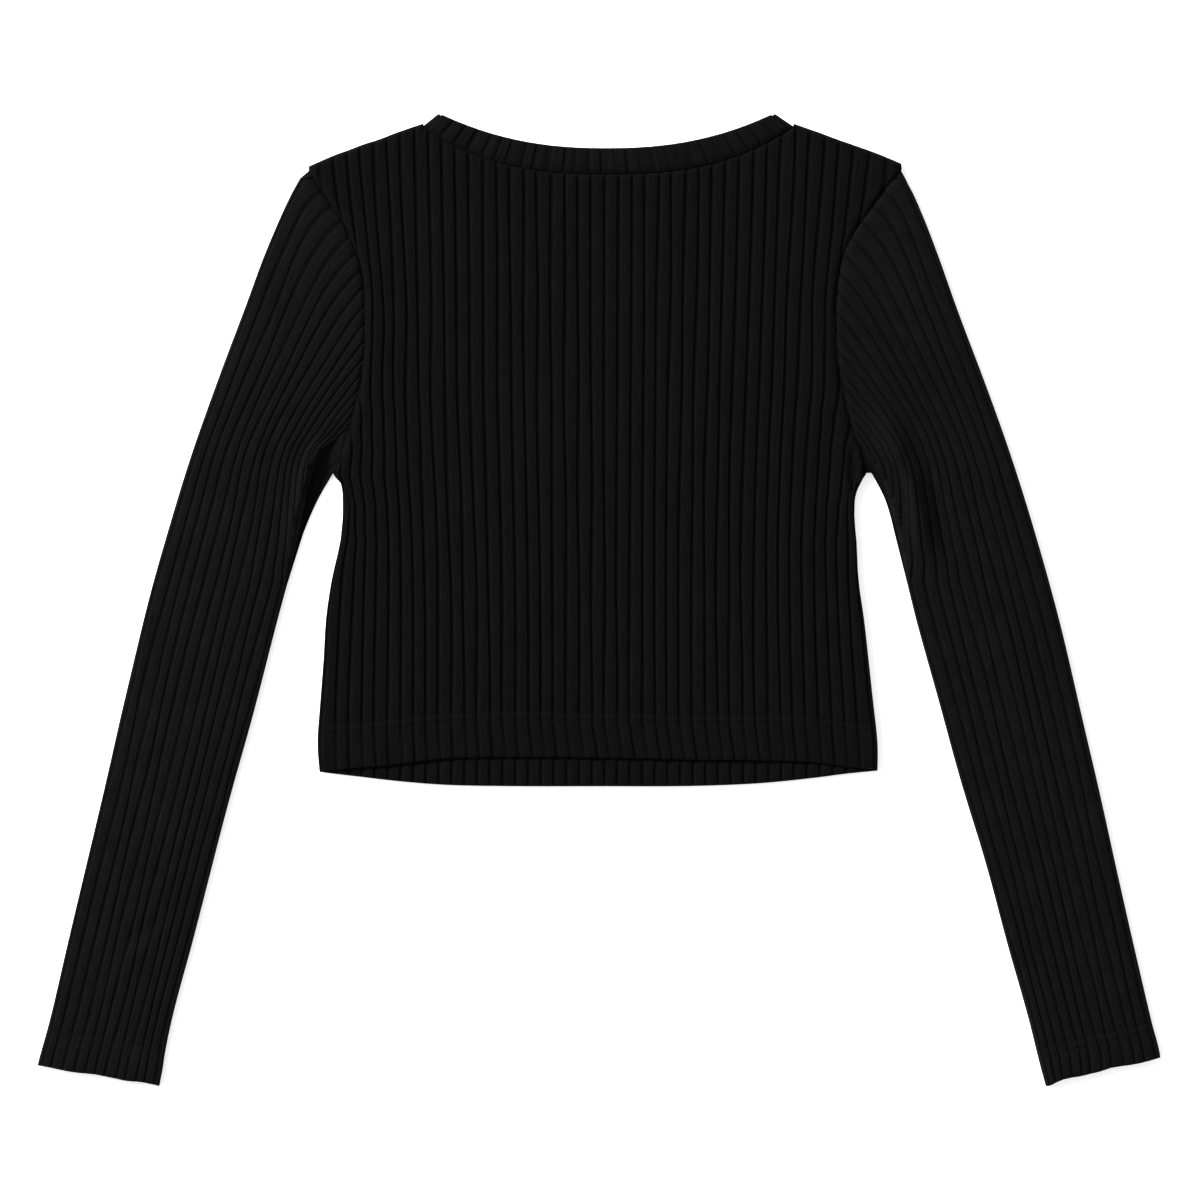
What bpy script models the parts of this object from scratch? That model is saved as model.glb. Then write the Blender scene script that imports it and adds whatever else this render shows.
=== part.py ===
"""A cropped, long-sleeved sweater in wide rib knit, laid flat with its back up.

Five pieces: back, front, two sleeves and a neckband. Each is a wall of cloth, made from a flat
grid whose columns follow the ribs, so that the ribs rise in the wall's outer points.
Lengths below are in millimetres. +X is the garment's right-hand side as it lies, +Y runs
from hem to neck, and +Z is up from the surface that it lies on.
"""

import collections
import math

import bmesh
import bpy

MM = 0.001

# Cloth
WALL = 1.5  # one layer of the knit, measured in a groove
RIB_RISE = 0.7  # how far a rib stands above its grooves
GROOVE_HALF = 0.2  # half a groove, as a share of the rib pitch
SEAM_GAP = 0.3  # between neighbouring pieces
CHORD = 0.05  # what a straight edge between two points of a curved seam may take of that gap
SEAM_DIP = 0.6  # how far a seam pulls the cloth down
SEAM_STEP = 2.5  # how far from a seam the cloth is level again
DOUBLE = 2.4  # the two layers of a turned-up hem

# Heights above the surface
FRONT_TOP = WALL
BACK_INNER = 3.3
BACK_TOP = BACK_INNER + WALL
SIDE_SEAM_HEIGHT = 3.0
SLEEVE_INNER = 3.0
SLEEVE_TOP = SLEEVE_INNER + WALL
SLEEVE_MIDDLE = 2.3
HEM_BACK_INNER = 2.95

# Rounded folds: how far in from the outline the cloth starts to turn down
SIDE_TURN = 4.5
SHOULDER_TURN = 3.6
HEM_TURN = 2.0
SLEEVE_TURN = 3.5
TURN_END = math.radians(75)  # a free edge is rounded this far from each face
TURN_SHARE = 0.4  # the most of a short stretch of cloth that a turn takes,
SEAM_SHARE = 0.2  # and the most that the dip by a seam takes

# Ribs, counted from the middle of the back
HEM_RIB = 22.0
FLAT_RIB = 21.2  # the side fold turns beyond this rib
ARMHOLE_RIB = 18.0  # the rib that the armhole just reaches
SHOULDER_RIB = 21.0
SEAM_TAPER = 2.2  # how the lower armhole takes the ribs, more of them near the underarm
SIDE_DRAW = 4  # power by which the outline's waist and flare reach inwards

# Body outline: height, left edge, right edge
BODY_SIDE = (
    (-107.0, -173.0, 172.4),
    (-90.0, -174.2, 172.4),
    (-62.0, -172.4, 169.5),
    (-37.0, -170.5, 166.8),
    (-12.0, -169.0, 164.0),
    (12.0, -165.5, 160.6),
    (37.0, -160.0, 159.3),
    (50.0, -158.7, 158.1),
    (62.0, -158.7, 158.7),
    (79.0, -163.1, 164.5),
)
# Armhole seam from the underarm to the shoulder: height, left, right
ARMHOLE = (
    (79.0, -163.1, 164.5),
    (92.0, -158.9, 162.0),
    (105.0, -155.0, 157.5),
    (118.0, -151.2, 153.6),
    (130.0, -148.6, 151.0),
    (150.0, -145.2, 147.3),
    (170.0, -144.5, 146.3),
    (190.0, -145.2, 147.3),
    (205.0, -147.5, 149.4),
    (220.0, -152.3, 154.3),
    (235.0, -159.5, 163.5),
    (250.0, -170.1, 174.8),
    (266.0, -179.6, 187.2),
)
UNDERARM = ARMHOLE[0][0]
ARMHOLE_LOW = 165.0  # the armhole's narrowest stretch lies between these two heights
ARMHOLE_HIGH = 173.0
SHOULDER_POINT = ARMHOLE[-1][0]
# Shoulder line: distance from the middle of the neck, height
SHOULDER = (
    (115.0, 293.0),
    (120.0, 292.6),
    (126.0, 291.6),
    (136.0, 287.6),
    (150.0, 282.4),
    (168.0, 275.6),
    (186.0, 267.8),
    (196.0, 263.0),
)
# Hem lines: distance across, back's edge, front's edge
HEM = (
    (-173.0, -106.0, -106.9),
    (-150.0, -104.2, -109.6),
    (-125.0, -102.0, -112.5),
    (-96.0, -98.6, -114.8),
    (-60.0, -97.7, -115.6),
    (0.0, -98.2, -115.7),
    (60.0, -99.4, -115.5),
    (100.0, -99.8, -113.8),
    (134.0, -101.0, -110.4),
    (154.0, -103.7, -107.8),
    (172.4, -105.2, -106.0),
)
HEM_ALLOWANCE = 24.5
HEM_STEP = 2.5
HEM_LEVEL = -100.0  # height at which the hem lines are read
FRONT_ALLOWANCE_TOP = -91.2  # height of the raw edge inside the front's hem
STITCHED_RISE = 0.5  # share of a rib's rise that is left where it is sewn down
STRIP_LEAST = 1.8  # the front's hem shows at least this far below the back's hem line
STRIP_STEP = 0.8  # the ribs of that strip end this far below the line, and the cloth is plain this far above
STRIP_FADE = 4.0  # its ribs fade out where the two hems are closer than this
# Rib pitch across the body: height, left of the middle, right of it
PITCH = (
    (-110.0, 7.90, 7.80),
    (0.0, 7.93, 7.70),
    (62.0, 8.10, 7.74),
    (124.0, 8.30, 7.90),
    (200.0, 8.35, 8.15),
    (296.0, 8.45, 8.35),
)

# Neck
NECK_MIDDLE = 5.6
NECK_HALF = 114.7  # middle to where the band meets the shoulder line
NECK_CORNER = 293.0
NECK_DROP = 29.2
NECK_POWER = 2.65
BAND_TIP_MIDDLE = 4.65
BAND_TIP_HALF = 103.85
BAND_TIP = 301.0
BAND_DROP = 21.7
BAND_POWER = 2.3
FRONT_NECK_DROP = 92.0
FRONT_NECK_POWER = 3.2
FRONT_BAND_DROP = 84.5
BAND_THICK = 1.9
BAND_BACK_INNER = 3.2
BAND_RISE = 0.5
BAND_RIBS = 21

# Sleeves, as distances from the garment's middle: height, left outer, left inner, right outer, right inner
SLEEVE = (
    (266.0, 182.0, None, 187.9, None),
    (260.0, 185.6, None, 190.0, None),
    (252.0, 190.0, None, 194.3, None),
    (235.0, 198.0, None, 201.6, None),
    (210.0, 208.6, None, 211.0, None),
    (185.0, 217.8, None, 220.0, None),
    (136.0, 236.2, None, 238.4, None),
    (86.0, 253.8, None, 256.0, None),
    (78.5, None, 164.8, None, 169.0),
    (61.7, None, 174.4, None, 177.4),
    (37.0, 268.5, 184.8, 271.2, 184.2),
    (12.0, None, 192.2, None, 190.4),
    (-13.0, 282.2, 199.0, 285.0, 196.6),
    (-62.0, 293.8, 211.8, 296.8, 210.2),
    (-112.0, 305.1, 225.5, 308.2, 223.9),
    (-161.0, 316.7, 238.6, 319.3, 238.6),
    (-211.0, 328.6, 251.5, 330.6, 252.3),
    (-260.0, 340.2, 264.5, 342.0, 265.9),
    (-284.0, 346.7, 269.3, 347.8, 271.8),
    (-288.6, 347.8, 269.9, 347.9, 273.0),
    (-301.0, None, 272.2, None, 276.5),
)
CUFF_OUTER = (-288.6, -283.7)  # height of each cuff's outer corner, left and right
CUFF_INNER = -301.0
CUFF_ALLOWANCE = 19.0
CUFF_STEP = 2.0
# The tuck under each arm, where the sleeve's upper layer rolls over before it reaches the
# outline. Its edge from the armhole down: height and distance, left, then right
TUCK = (
    (105.5, 155.1, 96.0, 160.9),
    (96.5, 165.4, 87.0, 167.2),
    (89.5, 171.6, 80.0, 172.0),
    (82.5, 175.4, 71.0, 176.6),
    (75.0, 178.3, 64.0, 178.9),
    (60.0, 182.0, 54.0, 181.6),
    (44.0, 185.0, 44.0, 184.4),
    (24.5, 187.8, 24.5, 188.4),
)
TUCK_FLOOR = 2.3
TUCK_EDGE = 1.9
TUCK_STEP = 0.3  # the lower layer shows from this far outside the tuck's edge
TUCK_START = 12.0  # height over which the tuck grows to its full roll
POCKET_MIDDLE = 2.0  # height at which the two layers nearly meet behind the tuck
POCKET_HALF = (0.15, 0.05)  # half the space between them there, at the tuck and at the outline
BRIM_LIFT = 0.4  # the lower layer's underside rises this far at the outline
CUFF_INSIDE = (2.0, 2.6)  # the turned-up cuff's two inner faces
SHOULDER_REACH = 6.0  # height over which the outer outline is drawn in to the shoulder
TUCK_POWER = 0.5  # more ribs dive under the tuck's edge near its top
PATCH_SHARE = 0.25  # the last share of the tuck's ribs rises to the armhole seam
CAP_RIBS = 16.0  # ribs that leave the armhole seam between the shoulder and the tuck
FOREARM_RIBS = 12.0  # ribs across the sleeve's upper face
EDGE_RIB = 0.6  # the share of a rib that each rounded edge takes
CROSS_OUTER = 45.6  # height of the outer edge where the cap ends and the plain tube starts
FOOT_BLEND = 10.0  # height below the tuck's foot over which the inner edge becomes a plain fold
# Pitch of the sleeve's outer ribs, measured straight across: height, pitch
OUTER_PITCH = (
    (-301.0, 7.0),
    (-62.0, 7.3),
    (24.0, 7.3),
    (62.0, 7.0),
    (86.0, 6.8),
    (106.0, 7.0),
    (150.0, 7.6),
    (266.0, 9.0),
)
PITCH_LIMITS = (0.7, 1.3)  # how much narrower or wider than the average rib the outer ones may be
SQUEEZE = 3  # power by which the ribs by the inner edge are squeezed

KNIT_COLOUR = (0.0056, 0.0056, 0.0058, 1.0)


# ---------- lines ----------


def smooth(points):
    """A smooth function through (place, value) points in order of place, straight beyond its ends."""
    xs = [p[0] for p in points]
    ys = [p[1] for p in points]
    if xs[0] > xs[-1]:
        xs.reverse()
        ys.reverse()
    last = len(xs) - 1
    slopes = [(ys[k + 1] - ys[k]) / (xs[k + 1] - xs[k]) for k in range(last)]
    tangents = [slopes[0]] + [(slopes[k - 1] + slopes[k]) / 2 for k in range(1, last)] + [slopes[-1]]

    def value(x):
        if x <= xs[0]:
            return ys[0] + tangents[0] * (x - xs[0])
        if x >= xs[-1]:
            return ys[-1] + tangents[-1] * (x - xs[-1])
        k = max(i for i in range(last) if xs[i] <= x)
        step = xs[k + 1] - xs[k]
        t = (x - xs[k]) / step
        rise = ys[k] * (1 + 2 * t) + tangents[k] * step * t
        fall = ys[k + 1] * (3 - 2 * t) - tangents[k + 1] * step * (1 - t)
        return rise * (1 - t) ** 2 + fall * t**2

    return value


def column_of(table, place, value):
    """A smooth function from two columns of a table, without the rows that leave the value out."""
    return smooth([(row[place], row[value]) for row in table if row[value] is not None])


def beside(line, place, away):
    """The value of a line at a place, moved sideways so that it stays the same distance away."""
    slope = line(place + 0.5) - line(place - 0.5)
    return line(place) + away * math.hypot(1.0, slope)


def mix(a, b, share):
    return a + (b - a) * share


def ease(share):
    share = min(1.0, max(0.0, share))
    return share * share * (3 - 2 * share)


# ---------- walls ----------


def rib_rise(rib):
    """Height of the knit at a rib coordinate, from 0 in a groove to 1 on a rib."""
    to_groove = abs(rib - math.floor(rib) - 0.5)
    return min(1.0, to_groove / GROOVE_HALF)


def rib_columns(first, last, others=()):
    """Rib coordinates of a wall's columns: each groove's bottom and both its edges, and the ends."""
    columns = {first, last, *others}
    groove = math.floor(first) + 0.5
    while groove < last:
        if groove > first:
            columns.update((groove - GROOVE_HALF, groove, groove + GROOVE_HALF))
        groove += 1
    return sorted(round(c, 4) for c in columns if first <= c <= last)


def grid_of(columns, rows, keep):
    """A flat grid whose points know their column and row, with only the cells that keep() names."""
    bm = bmesh.new()
    bmesh.ops.create_grid(bm, x_segments=columns - 1, y_segments=rows - 1, size=1)
    column = bm.verts.layers.int.new("column")
    row = bm.verts.layers.int.new("row")
    bm.verts.layers.int.new("lower")
    bm.verts.layers.int.new("inner")
    for index, vert in enumerate(bm.verts):
        vert[column] = index % columns
        vert[row] = index // columns
    lost = []
    for face in bm.faces:
        cell = (min(v[column] for v in face.verts), min(v[row] for v in face.verts))
        if not keep(*cell):
            lost.append(face)
    bmesh.ops.delete(bm, geom=lost, context="FACES")
    return bm


def second_sheet(bm, layer_name):
    """Extrude the whole sheet, keep it, and mark the new points in the named layer."""
    layer = bm.verts.layers.int[layer_name]
    whole = bm.verts[:] + bm.edges[:] + bm.faces[:]
    grown = bmesh.ops.extrude_face_region(bm, geom=whole, use_keep_orig=True)
    for item in grown["geom"]:
        if isinstance(item, bmesh.types.BMVert):
            item[layer] = 1


def finish_piece(bm, name, place):
    """Put each point where place(column, row, lower, inner) says, and make the object."""
    layers = [bm.verts.layers.int[key] for key in ("column", "row", "lower", "inner")]
    for vert in bm.verts:
        x, y, z = place(*(vert[layer] for layer in layers))
        vert.co = (x * MM, y * MM, z * MM)
    bmesh.ops.recalc_face_normals(bm, faces=bm.faces[:])
    if bm.calc_volume(signed=True) < 0:
        bmesh.ops.reverse_faces(bm, faces=bm.faces[:])
    mesh = bpy.data.meshes.new(name)
    bm.to_mesh(mesh)
    bm.free()
    mesh.materials.append(knit_material(name))
    mesh.shade_smooth()
    mesh.set_sharp_from_angle(angle=math.radians(50))
    piece = bpy.data.objects.new(name, mesh)
    bpy.context.scene.collection.objects.link(piece)
    return piece


def knit_material(name):
    material = bpy.data.materials.new(name + " rib knit")
    material.use_nodes = True
    shader = material.node_tree.nodes["Principled BSDF"]
    shader.inputs["Base Color"].default_value = KNIT_COLOUR
    shader.inputs["Roughness"].default_value = 0.9
    shader.inputs["Metallic"].default_value = 0.0
    return material


# ---------- body: back and front ----------

side_lines = {-1: column_of(BODY_SIDE, 0, 1), 1: column_of(BODY_SIDE, 0, 2)}
armhole_lines = {-1: column_of(ARMHOLE, 0, 1), 1: column_of(ARMHOLE, 0, 2)}
pitch_lines = {-1: column_of(PITCH, 0, 1), 1: column_of(PITCH, 0, 2)}
shoulder_line = smooth(SHOULDER)
back_hem = column_of(HEM, 0, 1)
front_hem = column_of(HEM, 0, 2)


def lower_armhole_height(rib):
    """Height at which a rib runs into the armhole seam from below."""
    share = (abs(rib) - ARMHOLE_RIB) / (HEM_RIB - ARMHOLE_RIB)
    if share <= 0:
        return ARMHOLE_LOW
    return mix(UNDERARM, ARMHOLE_LOW, (1 - share) ** SEAM_TAPER)


def upper_armhole_height(rib):
    """Height at which a rib leaves the armhole seam upwards."""
    share = (abs(rib) - ARMHOLE_RIB) / (SHOULDER_RIB - ARMHOLE_RIB)
    return mix(ARMHOLE_HIGH, SHOULDER_POINT, max(0.0, share))


def edge_rib(y):
    """The rib that lies on the body's edge at this height."""
    if y <= UNDERARM:
        return FLAT_RIB
    if y <= ARMHOLE_LOW:
        share = (y - UNDERARM) / (ARMHOLE_LOW - UNDERARM)
        return mix(HEM_RIB, ARMHOLE_RIB, share ** (1 / SEAM_TAPER))
    share = (y - ARMHOLE_HIGH) / (SHOULDER_POINT - ARMHOLE_HIGH)
    return mix(ARMHOLE_RIB, SHOULDER_RIB, min(1.0, max(0.0, share)))


def rib_x(rib, y):
    """Where a rib lies across the body at this height."""
    side = -1 if rib < 0 else 1
    pitch = pitch_lines[side](y)
    limit = edge_rib(y)
    if y <= UNDERARM:
        outline = side_lines[side](y)
        if abs(rib) > FLAT_RIB:
            turn = (abs(rib) - FLAT_RIB) / (HEM_RIB - FLAT_RIB)
            return outline - side * SIDE_TURN * (1 - math.sin(turn * math.pi / 2))
        edge = outline - side * SIDE_TURN
    else:
        edge = beside(armhole_lines[side], min(y, SHOULDER_POINT), -side * (SEAM_GAP / 2 + CHORD))
    drawn = edge - side * pitch * limit
    return pitch * rib + drawn * (min(1.0, abs(rib) / limit)) ** SIDE_DRAW


def back_neck(x):
    across = min(1.0, abs(x - NECK_MIDDLE) / NECK_HALF)
    return NECK_CORNER - NECK_DROP * (1 - across**NECK_POWER)


def front_neck(x):
    across = min(1.0, abs(x - NECK_MIDDLE) / NECK_HALF)
    return NECK_CORNER - FRONT_NECK_DROP * (1 - across**FRONT_NECK_POWER)


def in_neck(x):
    return abs(x - NECK_MIDDLE) < NECK_HALF


def top_of(rib, neck):
    """Height of a rib's upper end on a body panel, and whether the neck ends it."""
    y = SHOULDER_POINT
    for _ in range(4):
        x = rib_x(rib, y)
        if in_neck(x):
            y = beside(neck, x, -(SEAM_GAP / 2 + CHORD))
        else:
            y = shoulder_line(abs(x - NECK_MIDDLE))
    return y, in_neck(x)


def rib_at(x, y):
    """The rib coordinate that lies at x at this height."""
    low, high = -SHOULDER_RIB, SHOULDER_RIB
    for _ in range(40):
        middle = (low + high) / 2
        if rib_x(middle, y) < x:
            low = middle
        else:
            high = middle
    return low


ARMHOLE_COLUMNS = [ARMHOLE_RIB, 19.0, 20.0, SHOULDER_RIB]
CORNER_COLUMNS = [
    rib_at(NECK_MIDDLE + side * (NECK_HALF + step), NECK_CORNER) for side in (-1, 1) for step in (-0.3, 0.3)
]
BODY_COLUMNS = rib_columns(
    -HEM_RIB, HEM_RIB, ARMHOLE_COLUMNS + [-rib for rib in ARMHOLE_COLUMNS] + CORNER_COLUMNS
)

WAIST_TOP = 62.0  # height up to which every rib is level with its neighbours
INNER_RIB = 16.4  # ribs inside this one run straight past the armhole

# A row of a body panel. The low block runs from the hem to the armhole's narrowest stretch, and
# the high block from there to the shoulder and neck. The amount is a turn for "turn", a distance
# above the hem for "hem", above the back's hem line for "strip", a height for "level", a share
# of the way for "run" (in the low block from about the underarm's height up), and a distance
# from the armhole's line for "seam".
Row = collections.namedtuple("Row", "block kind amount")
HALF_TURN = math.radians(38)
BACK_ROWS = [
    Row("low", "turn", TURN_END),
    Row("low", "turn", 0.0),
    Row("low", "hem", HEM_ALLOWANCE),
    Row("low", "hem", HEM_ALLOWANCE + HEM_STEP),
    Row("low", "level", -5.0),
    Row("low", "level", 37.0),
    Row("low", "level", WAIST_TOP),
    Row("low", "run", 0.0),
    Row("low", "run", 0.5),
    Row("low", "seam", SEAM_STEP),
    Row("low", "seam", 0.0),
    Row("high", "seam", 0.0),
    Row("high", "seam", SEAM_STEP),
    Row("high", "run", 0.4),
    Row("high", "run", 0.75),
    Row("high", "turn", 0.0),
    Row("high", "turn", TURN_END),
]
SHOWN_STRIP = Row("low", "strip", -STRIP_STEP)  # the last row of the front's hem that shows below the back's
FRONT_ROWS = [
    Row("low", "turn", TURN_END),
    Row("low", "turn", 0.0),
    SHOWN_STRIP,
    Row("low", "strip", STRIP_STEP),
    Row("low", "level", FRONT_ALLOWANCE_TOP),
    Row("low", "level", FRONT_ALLOWANCE_TOP + HEM_STEP),
    Row("low", "level", -5.0),
    Row("low", "level", 37.0),
    Row("low", "level", WAIST_TOP),
    Row("low", "run", 0.0),
    Row("low", "run", 0.5),
    Row("low", "seam", 0.0),
    Row("high", "seam", 0.0),
    Row("high", "run", 0.5),
    Row("high", "turn", 0.0),
    Row("high", "turn", TURN_END),
]


def inside_hem(row):
    """Whether a row lies in the turned-up hem, where the cloth is double."""
    return row.kind in ("turn", "strip") or row in (
        Row("low", "hem", HEM_ALLOWANCE),
        Row("low", "level", FRONT_ALLOWANCE_TOP),
    )


def low_point(rib, row, hem):
    """Place of a body panel's point below the armhole's narrowest stretch."""
    hem_x = rib_x(rib, HEM_LEVEL)
    foot = hem(hem_x)
    head = lower_armhole_height(rib)
    if row.kind == "turn":
        room = max(back_hem(hem_x) - foot, STRIP_LEAST) - STRIP_STEP
        depth = min(HEM_TURN, TURN_SHARE * room) if hem is front_hem else HEM_TURN
        y = foot + depth * (1 - math.sin(row.amount))
    elif row.kind == "strip":
        y = max(back_hem(hem_x), foot + STRIP_LEAST) + row.amount
    elif row.kind == "level":
        y = row.amount
    elif row.kind == "hem":
        y = foot + row.amount
    elif row.kind == "run":
        seam_foot = head - SEAM_STEP
        y = mix(min(UNDERARM, mix(WAIST_TOP, seam_foot, 0.5)), seam_foot, row.amount)
    else:
        y = head - row.amount
    if abs(rib) < INNER_RIB and y > WAIST_TOP:
        return straight_x(rib, y), y
    return rib_x(rib, y), y


def high_point(rib, row, neck):
    """Place of a body panel's point above the armhole's narrowest stretch, and whether the neck ends it."""
    top_y, ends_in_neck = top_of(rib, neck)
    foot = upper_armhole_height(rib)
    room = top_y - foot
    turn_depth = min(SHOULDER_TURN, TURN_SHARE * room)
    seam_depth = min(SEAM_STEP, SEAM_SHARE * room)
    if row.kind == "seam":
        y = foot + min(row.amount, seam_depth)
    elif row.kind == "run":
        y = mix(foot + seam_depth, top_y - turn_depth, row.amount)
    else:
        y = top_y - turn_depth * (1 - math.sin(row.amount))
    inside = row.kind == "seam" and abs(rib) < INNER_RIB
    return (straight_x if inside else rib_x)(rib, y), y, ends_in_neck


def straight_x(rib, y):
    """Where a rib inside the armhole lies between the waist and the armhole's narrowest stretch, which
    it runs past on a straight line."""
    end = ARMHOLE_HIGH + SEAM_STEP
    return mix(rib_x(rib, WAIST_TOP), rib_x(rib, end), (y - WAIST_TOP) / (end - WAIST_TOP))


def side_turn(rib):
    """How far the side fold has turned the cloth at this rib."""
    return TURN_END * max(0.0, abs(rib) - FLAT_RIB) / (HEM_RIB - FLAT_RIB)


def folded(point, low, top, seat, shoulder, fold, side, inner):
    """A panel's point after the shoulder's and the side's turns, which bring both faces to the seam."""
    x, y = point
    low = mix(seat, mix(seat, low, math.cos(shoulder)), math.cos(fold))
    top = mix(seat, mix(seat, top, math.cos(shoulder)), math.cos(fold))
    if inner:
        y -= WALL * math.sin(shoulder)
        x -= side * WALL * math.sin(fold)
    return x, y, low, top


def panel_point(rib, row, inner, hem, neck, low, top, seat):
    """A panel's point with both its faces' heights: rounded at the hem, the sides and the shoulders."""
    side = -1 if rib < 0 else 1
    if row.block == "low":
        point = low_point(rib, row, hem)
        if row.kind == "turn":
            middle = (low + top) / 2
            low = mix(middle, low, math.cos(row.amount))
            top = mix(middle, top, math.cos(row.amount))
        return folded(point, low, top, seat, 0.0, side_turn(rib), side, inner)
    x, y, ends_in_neck = high_point(rib, row, neck)
    shoulder = row.amount if row.kind == "turn" and not ends_in_neck else 0.0
    return folded((x, y), low, top, seat, shoulder, 0.0, side, inner)


def on_seam(rib, row):
    """Whether a point lies on the armhole seam or on the neck seam."""
    at_armhole = abs(rib) > ARMHOLE_RIB - 0.01 and row.kind == "seam" and row.amount == 0
    at_top = row.block == "high" and row.kind == "turn" and row.amount > 0
    return at_armhole or (at_top and top_of(rib, back_neck)[1])


def back_place(column, row_number, lower, inner):
    rib, row = BODY_COLUMNS[column], BACK_ROWS[row_number]
    low, top = BACK_INNER, BACK_TOP
    if row.block == "low" and inside_hem(row):
        low, top = HEM_BACK_INNER, HEM_BACK_INNER + DOUBLE
    rise = RIB_RISE * rib_rise(rib)
    if row.kind == "hem":
        rise *= STITCHED_RISE
    if on_seam(rib, row):
        rise *= STITCHED_RISE
        top -= SEAM_DIP
    seat = SIDE_SEAM_HEIGHT + SEAM_GAP / 2
    x, y, low, top = panel_point(rib, row, inner, back_hem, back_neck, low, top + rise, seat)
    return x, y, low if inner else top


def front_place(column, row_number, lower, inner):
    rib, row = BODY_COLUMNS[column], FRONT_ROWS[row_number]
    low, top = 0.0, FRONT_TOP
    if row.block == "low" and inside_hem(row):
        top = DOUBLE
        if row.kind == "turn" or row == SHOWN_STRIP:
            hem_x = rib_x(rib, HEM_LEVEL)
            shows = ease((back_hem(hem_x) - front_hem(hem_x)) / STRIP_FADE)
            top += RIB_RISE * rib_rise(rib) * shows
    seat = SIDE_SEAM_HEIGHT - SEAM_GAP / 2
    x, y, low, top = panel_point(rib, row, inner, front_hem, front_neck, low, top, seat)
    return x, y, top if inner else low


def body_panel(name, rows, place):
    """A body panel. The armhole is an open slit in its grid, and the shoulder takes fewer ribs than the hem."""
    slit = [row.block for row in rows].index("high") - 1

    def keep(column, row):
        rib = min(abs(BODY_COLUMNS[column]), abs(BODY_COLUMNS[column + 1]))
        if row == slit:
            return rib < ARMHOLE_RIB
        return row < slit or rib < SHOULDER_RIB

    bm = grid_of(len(BODY_COLUMNS), len(rows), keep)
    second_sheet(bm, "inner")
    return finish_piece(bm, name, place)


# ---------- sleeves ----------


class SleeveLines:
    """The lines of one sleeve, as distances from the garment's middle by height."""

    def __init__(self, side):
        right = side > 0
        self.side = side
        self.edge = column_of(SLEEVE, 0, 3 if right else 1)
        self.inner = column_of(SLEEVE, 0, 4 if right else 2)
        self.cuff_outer = CUFF_OUTER[1 if right else 0]
        armhole = armhole_lines[side]
        self.armhole = lambda y: abs(beside(armhole, y, side * (SEAM_GAP / 2 + CHORD)))
        tuck_height, tuck_across = (2, 3) if right else (0, 1)
        self.tuck = smooth([(row[tuck_height], row[tuck_across]) for row in TUCK])
        self.tuck_top = TUCK[0][tuck_height]
        self.tuck_foot = TUCK[-1][tuck_height]
        heights = [mix(SHOULDER_POINT, self.tuck_top, step / SEAM_STEPS) for step in range(SEAM_STEPS + 1)]
        points = [(self.armhole(y), y) for y in heights]
        runs = [0.0]
        for before, after in zip(points, points[1:]):
            runs.append(runs[-1] + math.dist(before, after))
        ribs = [CAP_RIBS * run / runs[-1] for run in runs]
        self.seam_rib = smooth(list(zip(heights, ribs)))
        self.seam_height = smooth(list(zip(ribs, heights)))

    def outer(self, y):
        """The outer outline, drawn in to the end of the seam at the shoulder."""
        gap = self.edge(SHOULDER_POINT) - self.armhole(SHOULDER_POINT)
        return self.edge(y) - gap * (1 - ease((SHOULDER_POINT - y) / SHOULDER_REACH))

    def dive_height(self, rib):
        """Height at which a rib of the cap meets the tuck's edge."""
        share = (rib - FOREARM_RIBS) / (CAP_RIBS - FOREARM_RIBS)
        return mix(self.tuck_foot, self.tuck_top, max(0.0, share) ** TUCK_POWER)

    def tuck_margin(self, y):
        """Width over which the cloth rolls over the tuck's edge."""
        return SLEEVE_TURN * ease((self.tuck_top - y) / TUCK_START)

    def inner_end(self, y):
        """The last rib of the upper face at this height, where it lies, and what its edge has left to turn."""
        if y >= self.tuck_top:
            return self.seam_rib(y), self.armhole(y), 0.0
        if y >= self.tuck_foot:
            share = (y - self.tuck_foot) / (self.tuck_top - self.tuck_foot)
            rib = mix(FOREARM_RIBS, CAP_RIBS, share ** (1 / TUCK_POWER))
            return rib, self.tuck(y) + self.tuck_margin(y), 0.0
        blend = min(1.0, (self.tuck_foot - y) / FOOT_BLEND)
        foot = self.tuck(self.tuck_foot) - self.inner(self.tuck_foot)
        return FOREARM_RIBS - EDGE_RIB * blend, self.inner(y) + foot * (1 - blend) + SLEEVE_TURN, blend

    def rib_across(self, rib, y):
        """Where a rib lies at this height, and how far a rounded edge has turned there."""
        last, inner, blend = self.inner_end(y)
        outer = self.outer(y)
        if last <= EDGE_RIB:
            return mix(outer, inner, min(1.0, rib / max(last, 0.001))), TURN_END * (1 - rib / EDGE_RIB)
        edge = min(SLEEVE_TURN, EDGE_RIB * (outer - inner) / last)
        if rib < EDGE_RIB:
            turn = TURN_END * (1 - rib / EDGE_RIB)
            return outer - edge * (1 - math.sin(turn)), turn
        if rib > last:
            turn = TURN_END * blend * min(1.0, (rib - last) / (FOREARM_RIBS - last))
            return inner - SLEEVE_TURN * math.sin(turn), turn
        width = outer - edge - inner
        share = (rib - EDGE_RIB) / (last - EDGE_RIB)
        pitch = outer_pitch(y) * (last - EDGE_RIB) / width
        pitch = min(PITCH_LIMITS[1], max(PITCH_LIMITS[0], pitch))
        return outer - edge - width * (pitch * share + (1 - pitch) * share**SQUEEZE), 0.0


SEAM_STEPS = 40
outer_pitch = smooth(OUTER_PITCH)
LEFT_LINES, RIGHT_LINES = SleeveLines(-1), SleeveLines(1)

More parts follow.
